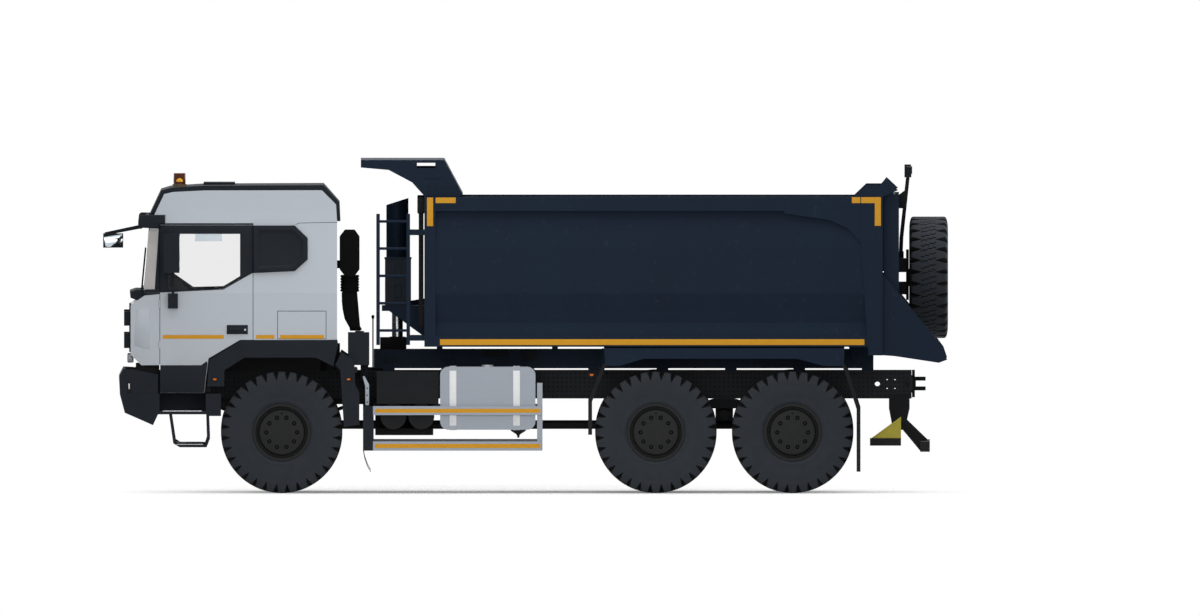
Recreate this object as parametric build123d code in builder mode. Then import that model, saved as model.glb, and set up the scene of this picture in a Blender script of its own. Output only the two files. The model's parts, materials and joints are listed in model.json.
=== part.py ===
"""Off-road dump truck: three driven axles, cab over the engine, tipping bed with a front hoist."""
import os
from math import cos, radians, sin

from build123d import *

os.makedirs("parts", exist_ok=True)

# Driving sizes in mm: X runs to the tail, Y to the right side, Z up from the floor
FRONT_AXLE_X = -2497.0
WHEELBASE = 3830.0
BOGIE_SPREAD = 1400.0
WHEEL_Y = 1030.0
TYRE_RADIUS = 622.5
TYRE_WIDTH = 400.0
TYRE_FACETS = 36
BEAD_RADIUS = 290.0
KINGPIN_Y = 870.0
RAIL_OUTER_Y = 425.0
RAIL_FLANGE = 80.0
RAIL_BOTTOM = 961.0
RAIL_TOP = 1246.0
RAIL_REAR_X = 3950.0
BODY_HALF = 1235.0
BED_FRONT_X = -1037.0
BED_REAR_X = 3655.0
BED_BOTTOM = 1498.0
BED_FLOOR = 1606.0
BED_TOP = 3032.0
HINGE_X = 3427.0
HINGE_Z = 1394.0
GATE_PIN_X = 3668.0
GATE_PIN_Z = 3103.0
HOIST_X = -1313.0
CAB_PIVOT_X = -4040.0
CAB_PIVOT_Z = 1190.0
CAB_BACK_X = -1930.0
CAB_FLOOR_Z = 1572.0
WALL = 45.0
DOOR_GAP = 6.0
DOOR_HINGES = (1480.0, 1900.0)
DOOR_FRONT_X = -3747.0
DOOR_REAR_X = -2787.0
SPARE_Z = 2197.0
SPARE_X = 4124.0

MIDDLE_AXLE_X = FRONT_AXLE_X + WHEELBASE
REAR_AXLE_X = MIDDLE_AXLE_X + BOGIE_SPREAD
RAIL_INNER_Y = RAIL_OUTER_Y - RAIL_FLANGE


def save(piece, name):
    """Label a finished piece and write its file."""
    piece.part.label = name
    export_step(piece.part, f"parts/{name}.step")


def side_plate(outline, y_low, y_high, mode=Mode.ADD):
    """A closed side outline of (x, z) points, thick from y_low to y_high."""
    with BuildSketch(Plane.XZ.offset(-y_high)) as face:
        with BuildLine():
            Polyline(*outline, close=True)
        make_face()
    extrude(face.sketch, amount=y_high - y_low, mode=mode)


def cross_bar(outline, x_low, x_high, mode=Mode.ADD):
    """A closed cross section of (y, z) points, long from x_low to x_high."""
    with BuildSketch(Plane.YZ.offset(x_low)) as face:
        with BuildLine():
            Polyline(*outline, close=True)
        make_face()
    extrude(face.sketch, amount=x_high - x_low, mode=mode)


def block(x_low, x_high, y_low, y_high, z_low, z_high, mode=Mode.ADD):
    """A box between two corners."""
    middle = ((x_low + x_high) / 2, (y_low + y_high) / 2, (z_low + z_high) / 2)
    with Locations(middle):
        Box(x_high - x_low, y_high - y_low, z_high - z_low, mode=mode)


def bar_y(x, z, y_low, y_high, radius, mode=Mode.ADD):
    """A round bar along Y."""
    with BuildSketch(Plane.XZ.offset(-y_high)) as face:
        with Locations((x, z)):
            Circle(radius)
    extrude(face.sketch, amount=y_high - y_low, mode=mode)


def bar_z(x, y, z_low, z_high, radius, mode=Mode.ADD):
    """A round bar along Z."""
    with BuildSketch(Plane.XY.offset(z_low)) as face:
        with Locations((x, y)):
            Circle(radius)
    extrude(face.sketch, amount=z_high - z_low, mode=mode)


def bar_x(y, z, x_low, x_high, radius, mode=Mode.ADD):
    """A round bar along X."""
    with BuildSketch(Plane.YZ.offset(x_low)) as face:
        with Locations((y, z)):
            Circle(radius)
    extrude(face.sketch, amount=x_high - x_low, mode=mode)


def both_sides():
    """Repeat what stands on the right side on the left."""
    mirror(about=Plane.XZ)


# Tyre: flat-sided tread ring, lug tips on the driving radius, axle along Y
TYRE_BANDS = [
    (-165, BEAD_RADIUS + 5),
    (-TYRE_WIDTH / 2, 440),
    (-192, 560),
    (-150, TYRE_RADIUS),
    (150, TYRE_RADIUS),
    (192, 560),
    (TYRE_WIDTH / 2, 440),
    (165, BEAD_RADIUS + 5),
]
with BuildPart() as tyre_form:
    for across, reach in TYRE_BANDS:
        with BuildSketch(Plane.XZ.offset(-across)):
            RegularPolygon(reach, TYRE_FACETS, major_radius=False, rotation=180 / TYRE_FACETS)
    loft(ruled=True)
    with BuildSketch(Plane.XZ.offset(-TYRE_WIDTH)):
        RegularPolygon(BEAD_RADIUS, TYRE_FACETS, major_radius=False, rotation=180 / TYRE_FACETS)
    extrude(amount=2 * TYRE_WIDTH, mode=Mode.SUBTRACT)

# Wheel: rim band with a dished disc, outer face to -Y
WHEEL_PROFILE = [
    (0, -170), (90, -170), (98, -150), (229, -150), (238, -112), (262, -112), (268, -176), (294, -176),
    (294, -166), (289.5, -166), (289.5, 166), (294, 166), (294, 176), (268, 176), (262, 150), (262, -72),
    (225, -72), (215, -110), (100, -110), (100, -56), (60.3, -56), (60.3, -140), (0, -140),
]
BOLT_COUNT = 10
BOLT_CIRCLE = 158.0
with BuildPart() as wheel_form:
    with BuildSketch():
        with BuildLine():
            Polyline(*WHEEL_PROFILE, close=True)
        make_face()
    revolve(axis=Axis.Y)

WHEELS = [
    ("front_left", FRONT_AXLE_X, -1),
    ("front_right", FRONT_AXLE_X, 1),
    ("middle_left", MIDDLE_AXLE_X, -1),
    ("middle_right", MIDDLE_AXLE_X, 1),
    ("rear_left", REAR_AXLE_X, -1),
    ("rear_right", REAR_AXLE_X, 1),
]
for place, x, side in WHEELS:
    hub = Location((x, side * WHEEL_Y, TYRE_RADIUS), (0, 0, 90 + 90 * side))
    with BuildPart() as tyre:
        with Locations(hub):
            add(tyre_form.part)
    save(tyre, f"tyre_{place}")
    with BuildPart() as wheel:
        with Locations(hub):
            add(wheel_form.part)
    save(wheel, f"wheel_{place}")

spare_hub = Location((SPARE_X, 0, SPARE_Z), (0, 0, 90))
with BuildPart() as spare_tyre:
    with Locations(spare_hub):
        add(tyre_form.part)
save(spare_tyre, "spare_tyre")
with BuildPart() as spare_wheel:
    with Locations(spare_hub):
        add(wheel_form.part)
save(spare_wheel, "spare_wheel")

# Steering knuckles with brake drums, kingpin bore upright
DRUM_RADIUS = 200.0
SPINDLE_RADIUS = 60.0
TOWER = 145.0
for hand, side in [("left", -1), ("right", 1)]:
    with BuildPart() as knuckle:
        bar_z(FRONT_AXLE_X, side * KINGPIN_Y, TYRE_RADIUS - TOWER, TYRE_RADIUS + TOWER, 70)
        spans = sorted((side * KINGPIN_Y, side * 955))
        bar_y(FRONT_AXLE_X, TYRE_RADIUS, spans[0], spans[1], 110)
        spans = sorted((side * 950, side * 1085))
        bar_y(FRONT_AXLE_X, TYRE_RADIUS, spans[0], spans[1], DRUM_RADIUS)
        spans = sorted((side * 1080, side * 1165))
        bar_y(FRONT_AXLE_X, TYRE_RADIUS, spans[0], spans[1], SPINDLE_RADIUS)
        spans = sorted((side * 835, side * 852))
        block(FRONT_AXLE_X, FRONT_AXLE_X + 235, spans[0], spans[1], 545, 590)
        bar_z(FRONT_AXLE_X, side * KINGPIN_Y, 0, 2 * TYRE_RADIUS, 29.5, mode=Mode.SUBTRACT)
    save(knuckle, f"knuckle_{hand}")

# Axle beams: steered front beam with yokes, two driven rear beams with drums
with BuildPart() as axle_beams:
    bar_y(FRONT_AXLE_X, TYRE_RADIUS, -760, 760, 85)
    bar_x(0, TYRE_RADIUS, FRONT_AXLE_X - 190, FRONT_AXLE_X + 190, 190)
    block(FRONT_AXLE_X - 60, FRONT_AXLE_X + 60, 700, 790, TYRE_RADIUS - 190, TYRE_RADIUS + 190)
    block(FRONT_AXLE_X - 50, FRONT_AXLE_X + 50, 780, 915, TYRE_RADIUS + 150, TYRE_RADIUS + 190)
    block(FRONT_AXLE_X - 50, FRONT_AXLE_X + 50, 780, 915, TYRE_RADIUS - 190, TYRE_RADIUS - 150)
    bar_z(FRONT_AXLE_X, KINGPIN_Y, TYRE_RADIUS + 80, TYRE_RADIUS + 160, 29.2)
    bar_z(FRONT_AXLE_X, KINGPIN_Y, TYRE_RADIUS - 160, TYRE_RADIUS - 80, 29.2)
    for x in (MIDDLE_AXLE_X, REAR_AXLE_X):
        bar_y(x, TYRE_RADIUS, 0, 960, 95)
        bar_y(x, TYRE_RADIUS, 950, 1085, DRUM_RADIUS)
        bar_y(x, TYRE_RADIUS, 1080, 1165, SPINDLE_RADIUS)
        bar_x(0, TYRE_RADIUS, x - 200, x + 200, 200)
    both_sides()
save(axle_beams, "axle_beams")

# Leaf springs under the rails
SPRING_Y = (385.0, 465.0)
FRONT_SPRING = [
    (-800, 940), (-400, 800), (-100, 750), (100, 750), (400, 800), (800, 940),
    (800, 912), (400, 768), (100, 707.5), (-100, 707.5), (-400, 768), (-800, 912),
]
REAR_SPRING = [
    (-780, 717.5), (-620, 717.5), (-400, 790), (-120, 860), (120, 860), (400, 790), (620, 717.5), (780, 717.5),
    (780, 752), (400, 850), (120, 950), (-120, 950), (-400, 850), (-780, 752),
]
BOGIE_X = (MIDDLE_AXLE_X + REAR_AXLE_X) / 2
with BuildPart() as leaf_springs:
    side_plate([(FRONT_AXLE_X + x, z) for x, z in FRONT_SPRING], *SPRING_Y)
    side_plate([(BOGIE_X + x, z) for x, z in REAR_SPRING], *SPRING_Y)
    both_sides()
save(leaf_springs, "leaf_springs")

# Propshafts and transfer case
with BuildPart() as propshafts:
    block(-500, -50, -250, 250, 640, 930)
    block(-350, -200, -400, 400, 920, RAIL_BOTTOM)
    bar_x(0, 690, FRONT_AXLE_X + 190, -480, 45)
    bar_x(0, 690, -60, MIDDLE_AXLE_X - 200, 45)
with BuildPart() as rear_shaft:
    bar_x(0, 690, MIDDLE_AXLE_X + 200, REAR_AXLE_X - 200, 45)
with BuildPart() as drive_train:
    add(propshafts.part)
    add(rear_shaft.part)
save(drive_train, "propshafts")

with BuildPart() as engine_block:
    block(-3180, -2050, -335, 335, 860, 1540)
    block(-2060, -1300, -220, 220, 900, 1240)
    block(-3480, -3440, -330, 330, 960, 1300)
    block(-3445, -3170, -60, 60, 1100, 1220)
    block(-2900, -2800, -416, 416, 1000, 1080)
    block(-1500, -1420, -416, 416, 1000, 1080)
save(engine_block, "engine_block")

# Ladder frame: channel rails, cross members, cab pivots, tow jaw
CROSS_X = [(-3900, 60), (-1150, 80), (700, 80), (2033, 120), (3100, 80), (3900, 100)]
JAW_X = 4034.0
with BuildPart() as chassis_frame:
    block(-3950, RAIL_REAR_X, RAIL_OUTER_Y - 9, RAIL_OUTER_Y, RAIL_BOTTOM, RAIL_TOP)
    block(-3950, RAIL_REAR_X, RAIL_INNER_Y, RAIL_OUTER_Y, RAIL_BOTTOM, RAIL_BOTTOM + 10)
    block(-3950, RAIL_REAR_X, RAIL_INNER_Y, RAIL_OUTER_Y, RAIL_TOP - 10, RAIL_TOP)
    block(-4085, -3940, RAIL_INNER_Y + 5, RAIL_OUTER_Y, 1130, RAIL_TOP)
    bar_y(CAB_PIVOT_X, CAB_PIVOT_Z, RAIL_INNER_Y, 525, 32)
    block(-2040, -1960, RAIL_INNER_Y, RAIL_OUTER_Y, RAIL_TOP - 5, CAB_FLOOR_Z - 0.3)
    block(-3330, -3255, 380, 470, 940, RAIL_BOTTOM + 2)
    block(-1740, -1665, 380, 470, 940, RAIL_BOTTOM + 2)
    block(BOGIE_X - 90, BOGIE_X + 90, RAIL_INNER_Y - 20, 375, 730, RAIL_BOTTOM + 5)
    block(-110 + BOGIE_X, 110 + BOGIE_X, 370, 480, 950, RAIL_BOTTOM + 5)
    bar_y(BOGIE_X, 790, 0, 480, 55)
    both_sides()
    for x, length in CROSS_X:
        block(x - length / 2, x + length / 2, -RAIL_OUTER_Y + 5, RAIL_OUTER_Y - 5, 1010, 1200)
    bar_x(0, 1106, RAIL_REAR_X - 10, RAIL_REAR_X + 20, 90)
    block(RAIL_REAR_X, JAW_X - 40, -45, 45, 1050, 1160)
    block(JAW_X - 60, JAW_X + 60, -70, 70, 1040, 1080)
    block(JAW_X - 60, JAW_X + 60, -70, 70, 1140, 1180)
    block(JAW_X - 80, JAW_X - 50, -110, 110, 970, 1250)
    bar_z(JAW_X + 15, 0, 900, 1300, 25, mode=Mode.SUBTRACT)
    for x in (3700, 3780):
        for z in (1060, 1150):
            bar_y(x, z, -500, 500, 9, mode=Mode.SUBTRACT)
    bar_y(3600, 1106, -500, 500, 27, mode=Mode.SUBTRACT)
save(chassis_frame, "chassis_frame")

# Tipper subframe: rails on packers, hinge pins, hoist cradle
SUB_BOTTOM = 1270.0
SUB_TOP = 1462.0
SUB_FRONT_X = -1555.0
SUB_REAR_X = 3560.0
CRADLE_Z = 1530.0
with BuildPart() as tipper_subframe:
    block(SUB_FRONT_X, SUB_REAR_X, RAIL_INNER_Y, RAIL_OUTER_Y, SUB_BOTTOM, SUB_TOP)
    for x in (-1400, -700, 0, 700, 1400, 2100, 2800, 3500):
        block(x - 60, x + 60, RAIL_INNER_Y, RAIL_OUTER_Y, RAIL_TOP, SUB_BOTTOM + 2)
    for x in (-880, 300, 1500, 2700):
        block(x - 30, x + 30, RAIL_INNER_Y, RAIL_OUTER_Y, SUB_TOP - 2, 1501.7)
    bar_y(HINGE_X, HINGE_Z, RAIL_OUTER_Y - 5, 500, 30)
    both_sides()
    for x in (-1500, -1126, 300, 1500, 2700, 3400):
        block(x - 40, x + 40, -RAIL_INNER_Y - 5, RAIL_INNER_Y + 5, SUB_BOTTOM + 20, SUB_TOP - 20)
    block(-1500, -1126, -110, 110, SUB_BOTTOM + 20, SUB_BOTTOM + 60)
    block(HOIST_X - 80, HOIST_X + 80, 84, 104, SUB_BOTTOM + 40, CRADLE_Z + 60)
    block(HOIST_X - 80, HOIST_X + 80, -104, -84, SUB_BOTTOM + 40, CRADLE_Z + 60)
    bar_y(HOIST_X, CRADLE_Z, 40, 90, 24.7)
    bar_y(HOIST_X, CRADLE_Z, -90, -40, 24.7)
save(tipper_subframe, "tipper_subframe")

# Hoist: foot on the cradle, three stages, cover held by the bed
HOIST_TOP = 2910.0
STAGE_BOTTOM = 1870.0
COVER_BOTTOM = 1860.0
with BuildPart() as hoist_foot:
    bar_z(HOIST_X, 0, 1482, HOIST_TOP, 56.5)
    bar_y(HOIST_X, CRADLE_Z, -58, 58, 56)
    bar_y(HOIST_X, CRADLE_Z, -80, 80, 25, mode=Mode.SUBTRACT)
save(hoist_foot, "hoist_foot")
for number, inner, outer in [(1, 56.8, 72), (2, 72.3, 86), (3, 86.3, 100)]:
    with BuildPart() as stage:
        bar_z(HOIST_X, 0, STAGE_BOTTOM, HOIST_TOP, outer)
        bar_z(HOIST_X, 0, STAGE_BOTTOM - 10, HOIST_TOP + 10, inner, mode=Mode.SUBTRACT)
    save(stage, f"hoist_stage_{number}")
with BuildPart() as hoist_cover:
    bar_z(HOIST_X, 0, COVER_BOTTOM, 3040, 113.5)
    block(HOIST_X - 60, HOIST_X + 60, -116, 116, COVER_BOTTOM, COVER_BOTTOM + 70)
    side_plate([(HOIST_X - 200, 1700), (HOIST_X + 200, 1700), (HOIST_X + 200, 3037), (HOIST_X - 200, 2909)],
               -200, 200, mode=Mode.INTERSECT)
    bar_z(HOIST_X, 0, COVER_BOTTOM - 10, HOIST_TOP + 4, 100.3, mode=Mode.SUBTRACT)
save(hoist_cover, "hoist_cover")

# Bed floor with cross beams, runners and hinge lobes
with BuildPart() as bed_floor:
    block(-960, BED_REAR_X, -1105, 1105, BED_FLOOR - 16, BED_FLOOR)
    block(-922, 3490, -1147, 1147, BED_FLOOR - 16, BED_FLOOR)
    for x in (-880, -300, 300, 900, 1500, 2100, 2700, 3250):
        block(x - 35, x + 35, -1152, 1152, 1502, BED_FLOOR - 14)
    block(3565, 3635, -1140, 1140, 1502, BED_FLOOR - 14)
    for side in (-1, 1):
        y_low, y_high = sorted((side * 445, side * 485))
        block(-950, 3645, y_low, y_high, BED_BOTTOM, BED_FLOOR - 14)
        side_plate([(3300, 1520), (3340, 1360), (3400, 1310), (3460, 1310), (3520, 1360), (3560, 1520)], y_low, y_high)
        bar_y(HINGE_X, HINGE_Z, y_low - 1, y_high + 1, 30.3, mode=Mode.SUBTRACT)
save(bed_floor, "bed_floor")

# Bed sides: bent panel, bottom rail, top rail, posts, rear wing
SIDE_OUTER = [(1180, 1600), (1130, 1743), (1150, 1862), (1190, 2046), (1190, 2512), (1170, 2707), (1140, 2890)]
SIDE_SKIN = 30.0
SIDE_SECTION = SIDE_OUTER + [(y - SIDE_SKIN, z) for y, z in reversed(SIDE_OUTER)]
REAR_POST = [(3508, 1410), (BED_REAR_X, 1410), (BED_REAR_X, BED_TOP), (3431, BED_TOP), (3431, 2550)]
REAR_GUSSET = [(2647, 2890), (2647, 2863), (3117, 2794), (3305, 2706), (3440, 2550), (3440, 2890)]
GATE_LUG = [(3363, 3030), (3486, 3147), (3642, 3147), (3694, 3212), (3812, 3101), (3640, 3030)]
REAR_WING = [
    (3640, 2236), (3665, 2236), (3747, 2138), (4204, 1575), (4277, 1477), (4314, 1366), (4229, 1334), (3779, 1402),
    (3640, 1412),
]
for hand, side in [("left", -1), ("right", 1)]:
    with BuildPart() as bed_side:
        cross_bar([(side * y, z) for y, z in SIDE_SECTION], -960, 3600)
        y_low, y_high = sorted((side * 1152, side * 1200))
        block(BED_FRONT_X, 3600, y_low, y_high, BED_BOTTOM, BED_FLOOR)
        y_low, y_high = sorted((side * 1105, side * 1200))
        block(BED_FRONT_X, 3640, y_low, y_high, 2887, BED_TOP)
        block(BED_FRONT_X, -922, y_low, y_high, BED_BOTTOM, BED_TOP)
        y_low, y_high = sorted((side * 1140, side * 1205))
        side_plate(REAR_POST, y_low, y_high)
        y_low, y_high = sorted((side * 1165, side * 1200))
        side_plate(REAR_GUSSET, y_low, y_high)
        side_plate(GATE_LUG, y_low, y_high)
        y_low, y_high = sorted((side * 1145, side * 1170))
        side_plate(REAR_WING, y_low, y_high)
        y_low, y_high = sorted((side * 1078, side * 1170))
        bar_y(GATE_PIN_X, GATE_PIN_Z, y_low, y_high, 24)
    save(bed_side, f"bed_side_{hand}")

# Bed front wall with hoist brackets
with BuildPart() as bed_front_wall:
    block(-980, -960, -1105, 1105, BED_BOTTOM, BED_TOP)
    block(BED_FRONT_X, -975, -1105, 1105, 2900, BED_TOP)
    for side in (-1, 1):
        y_low, y_high = sorted((side * 130, side * 150))
        side_plate([(-1400, 1860), (-1400, 1920), (-975, 1990), (-975, 1550)], y_low, y_high)
        y_low, y_high = sorted((side * 116.3, side * 145))
        bar_y(HOIST_X, 1895, y_low, y_high, 25)
    block(-1472, -1350, -760, -130, 1860, 1916)
    block(-1123, -975, -760, -130, 1860, 1916)
    block(-1472, -975, -760, -400, 1860, 1916)
    side_plate([(-1400, 1862), (-975, 1862), (-975, 1550)], -760, -740)
save(bed_front_wall, "bed_front_wall")

with BuildPart() as extinguisher_box:
    block(-1440, -1173, -720, -440, 1916, 2404)
save(extinguisher_box, "extinguisher_box")

# Cab guard over the bed's front edge
GUARD_SIDE = [
    (-1687, 3332), (-1402, 3307), (-1162, 3180), (-1030, BED_TOP), (-682, BED_TOP), (-643, 3057), (-832, 3409),
    (-1687, 3409),
]
with BuildPart() as cab_guard:
    side_plate(GUARD_SIDE, 1095, 1125)
    both_sides()
    side_plate([(-1687, 3332), (-1687, 3409), (-832, 3409), (-843, 3385), (-1660, 3385), (-1660, 3332)], -1096, 1096)
    side_plate([(-832, 3409), (-643, 3057), (-660, 3045), (-850, 3400)], -1096, 1096)
    block(-1112, -925, -1200, 1200, 3327, 3380, mode=Mode.SUBTRACT)
save(cab_guard, "cab_guard")

# Ladder on the bed's front left corner
RUNGS = [2781, 2504, 2224, 1944, 1665]
with BuildPart() as bed_ladder:
    for x in (-1529, -1220):
        block(x, x + 37, -1180, -1143, 1516, 2859)
    for z in RUNGS:
        bar_x(-1161.5, z, -1500, -1215, 14)
    for z in (2640, 1560):
        block(-1200, BED_FRONT_X, -1175, -1150, z, z + 60)
save(bed_ladder, "bed_ladder")

# Tailgate hung from its top pins
with BuildPart() as tailgate:
    block(3665, 3700, -1125, 1125, 1515, 3060)
    for z in (1530, 2040, 2550, 3000):
        block(3695, 3780, -1100, 1100, z, z + 60)
    for side in (-1, 1):
        y_low, y_high = sorted((side * 1075, side * 1125))
        block(3665, 3821, y_low, y_high, 1515, 3060)
        y_low, y_high = sorted((side * 1080, side * 1118))
        side_plate([(3664, 3150), (3640, 3130), (3630, 3090), (3665, 3040), (3780, 3040), (3720, 3150)], y_low, y_high)
    block(3695, 3821, -350, -250, 1515, 3060)
    block(3695, 3821, 250, 350, 1515, 3060)
    with BuildSketch(Plane.XZ.offset(-1130)):
        with Locations((GATE_PIN_X, GATE_PIN_Z)):
            Circle(24.3)
    extrude(amount=2260, mode=Mode.SUBTRACT)
save(tailgate, "tailgate")

# Spare wheel rack and davit post on the tailgate
with BuildPart() as spare_rack:
    block(3821, 3900, -320, 320, 2253, 2391)
    block(3821, 3900, -320, 320, 2025, 2151)
    block(3893, 3922, -240, 240, 1967, 2481)
    bar_x(0, SPARE_Z, 3915, SPARE_X + 56, 90)
    bar_x(0, SPARE_Z, 3915, SPARE_X + 130, SPINDLE_RADIUS)
    side_plate([(3821, 2448), (3826, 2601), (3892, 3214), (3930, 3214), (3866, 2601), (3860, 2448)], 300, 340)
    side_plate([(3821, 2900), (3821, 3040), (3900, 3100), (3880, 3000), (3870, 2900)], 300, 340)
    block(3821, 3870, 260, 345, 2360, 2460)
    bar_z(3911, 320, 3178, 3230, 12.3, mode=Mode.SUBTRACT)
save(spare_rack, "spare_rack")
with BuildPart() as davit_boom:
    bar_z(3911, 320, 3216, 3349, 34)
    bar_z(3911, 320, 3180, 3220, 12)
    block(3896, 3956, -420, 340, 3260, 3330)
    bar_z(3926, -400, 3225, 3270, 22)
save(davit_boom, "davit_boom")

# Cab walls: one bent band for sides and doors
WALL_OUTER = [(BODY_HALF, 1000), (BODY_HALF, 2050), (1155, 2900), (1120, 3110)]


def wall_band(depth_out, depth_in, x_low, x_high, mode):
    """The bent side wall of the cab between two depths under its outer face."""
    outer = [(y - depth_out, z) for y, z in WALL_OUTER]
    inner = [(y - depth_in, z) for y, z in reversed(WALL_OUTER)]
    cross_bar(outer + inner, x_low, x_high, mode=mode)


ROOF_LINE = [
    (-3795, 2860), (-3700, 3060), (-3610, 3082), (-3288, 3098), (-2085, 3100), (-1941, 2955), (CAB_BACK_X, 2783),
]
CAB_SIDE = [
    (-3933, 1310), (-4043, 1418), (-4043, 1915), (-4034, 1934), (-3899, 2023), (-3907, 2095), (-3848, 2698),
    (-3844, 2780), *ROOF_LINE, (CAB_BACK_X, 1570), (-2923, 1568), (-3237, 1381), (-3243, 1316),
]
DOOR_HOLE = [
    (DOOR_FRONT_X, 1000), (DOOR_FRONT_X, 2752), (DOOR_REAR_X, 2752), (DOOR_REAR_X, 1560), (-2923, 1550), (-3237, 1360),
    (-3237, 1000),
]
DOOR = [
    (DOOR_FRONT_X + DOOR_GAP, 1027), (DOOR_FRONT_X + DOOR_GAP, 2752 - DOOR_GAP), (DOOR_REAR_X - DOOR_GAP, 2752 - DOOR_GAP),
    (DOOR_REAR_X - DOOR_GAP, 1570), (-2923, 1570), (-3246, 1380), (-3290, 1027),
]
WINDOW = [(-3660, 2656), (-2923, 2656), (-2923, 2197), (-3093, 2095), (-3356, 2087), (-3660, 2080)]
PIVOT_LUG = [
    (-4082, 1190), (-4066, 1158), (-4026, 1146), (-3988, 1165), (-3890, 1316), (-3890, 1330), (-3932, 1330),
    (-3932, 1316), (-4056, 1236),
]
BACK_SECTION = [(1191, CAB_FLOOR_Z), (1191, 2050), (1106, 2950), (-1106, 2950), (-1191, 2050), (-1191, CAB_FLOOR_Z)]
with BuildPart() as cab_back:
    side_plate(CAB_SIDE, -1200, 1200)
    cross_bar(BACK_SECTION, CAB_BACK_X - WALL, -1900, mode=Mode.INTERSECT)
with BuildPart() as cab_shell:
    side_plate(CAB_SIDE, 900, 1300)
    wall_band(0, WALL, -4100, -1900, Mode.INTERSECT)
    side_plate(DOOR_HOLE, 900, 1300, mode=Mode.SUBTRACT)
    for z in DOOR_HINGES:
        bar_z(DOOR_FRONT_X, BODY_HALF, z, z + 80, 10.3, mode=Mode.SUBTRACT)
    both_sides()
    block(-3237, CAB_BACK_X, -1184, 1184, CAB_FLOOR_Z, CAB_FLOOR_Z + 30)
    block(DOOR_REAR_X, CAB_BACK_X, -1191, 1191, CAB_FLOOR_Z, CAB_FLOOR_Z + 30)
    block(-3237, -3207, -1184, 1184, 1316, CAB_FLOOR_Z + 30)
    block(-3933, -3207, -1184, 1184, 1316, 1346)
    block(-3933, DOOR_FRONT_X, -1191, 1191, 1316, 1346)
    add(cab_back.part)
    for side in (-1, 1):
        y_low, y_high = sorted((side * 485, side * 520))
        side_plate(PIVOT_LUG, y_low, y_high)
        bar_y(CAB_PIVOT_X, CAB_PIVOT_Z, y_low - 1, y_high + 1, 33, mode=Mode.SUBTRACT)
save(cab_shell, "cab_shell")

ROOF_CAP = [
    (-3840, 2860), (-3729, 3097), (-3627, 3126), (-3288, 3147), (-2066, 3152), (-1904, 2969), (-1896, 2783),
    *reversed(ROOF_LINE),
]
with BuildPart() as cab_roof:
    side_plate(ROOF_CAP, -1118, 1118)
    side_plate([(-3847, 2700), (-3840, 2864), (-3796, 2864), (-3805, 2700)], -1060, 1060)
    block(-3296, -2974, -400, 400, 3140, 3173)
save(cab_roof, "cab_roof")

FRONT_WALL = [
    (-3933, 1316), (-4043, 1420), (-4043, 1915), (-4034, 1934), (-3899, 2023), (-3860, 2023), (-3860, 1985),
    (-3998, 1895), (-3998, 1440), (-3933, 1376),
]
COWL = [(-4045, 2000), (-4051, 2060), (-3990, 2080), (-3860, 2080), (-3860, 2015), (-3900, 2018), (-3970, 1970)]
with BuildPart() as cab_front:
    side_plate(FRONT_WALL, -1190, 1190)
    side_plate(COWL, -1150, 1150)
save(cab_front, "cab_front")

with BuildPart() as cab_glass:
    side_plate([(-3907, 2082), (-3849, 2699), (-3837, 2699), (-3895, 2082)], -1189, 1189)
    cross_bar([(1187, 2080), (1128.7, 2700), (-1128.7, 2700), (-1187, 2080)], -4000, -3700, mode=Mode.INTERSECT)
save(cab_glass, "cab_glass")

ARCH_OUTER = [
    (-3259, 1094), (-3240, 1366), (-2918, 1563), (-2786, 1563), (-2786, 1568.2), (-1932, 1569.9), (-1922, 1518),
    (-1966, 1312),
]
ARCH_INNER = [(-2143, 1388), (-2878, 1388), (-3083, 1259), (-3087, 1094)]
ARCH_LINER = [(-3087, 1094), (-3083, 1259), (-2878, 1388), (-2143, 1388), (-1966, 1296), (-1966, 1310), (-2140, 1402),
              (-2884, 1402), (-3097, 1268), (-3101, 1094)]
with BuildPart() as cab_arches:
    side_plate(ARCH_OUTER + [(-1966, 1296)] + ARCH_INNER, 1191.5, 1240)
    side_plate(ARCH_LINER, 860, 1192)
    both_sides()
save(cab_arches, "cab_arches")

VISOR = [(-3967, 2706), (-3967, 2740), (-3870, 2847), (-3854, 2847), (-3854, 2800), (-3930, 2706)]
with BuildPart() as sun_visor:
    side_plate(VISOR, -1190, 1190)
    side_plate([(-3858, 2790), (-3858, 2847), (-3686, 2847), (-3700, 2770)], 1178, 1190)
    both_sides()
    block(-3862, -3841, 300, 340, 2800, 2840)
    block(-3862, -3841, -340, -300, 2800, 2840)
    side_plate([(-3960, 2725), (-3930, 2712), (-3935, 2690), (-4300, 2620), (-4310, 2650)], 690, 710)
    block(-4324, -4119, 640, 760, 2494, 2639)
    add(cab_roof.part, mode=Mode.SUBTRACT)
save(sun_visor, "sun_visor")

with BuildPart() as dash:
    block(-3855, -3600, -1120, 1120, 1750, 2060)
    block(-3855, -3760, -1190, 1190, 1750, 2000)
with BuildPart() as steering:
    with Locations(Location((-3470, -560, 2130), (0, 35, 0))):
        Torus(225, 18)
        Cylinder(30, 30)
        Box(440, 40, 16)
    with Locations(Location((-3545, -560, 2023), (0, 35, 0))):
        Cylinder(28, 270)
with BuildPart() as seats:
    for y in (-560, 560):
        block(-3150, -2640, y - 250, y + 250, 1602, 1850)
        side_plate([(-2760, 1800), (-2640, 1800), (-2500, 2500), (-2600, 2510)], y - 250, y + 250)
with BuildPart() as cab_interior:
    add(dash.part)
    add(steering.part)
    add(seats.part)
save(cab_interior, "cab_interior")

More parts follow.
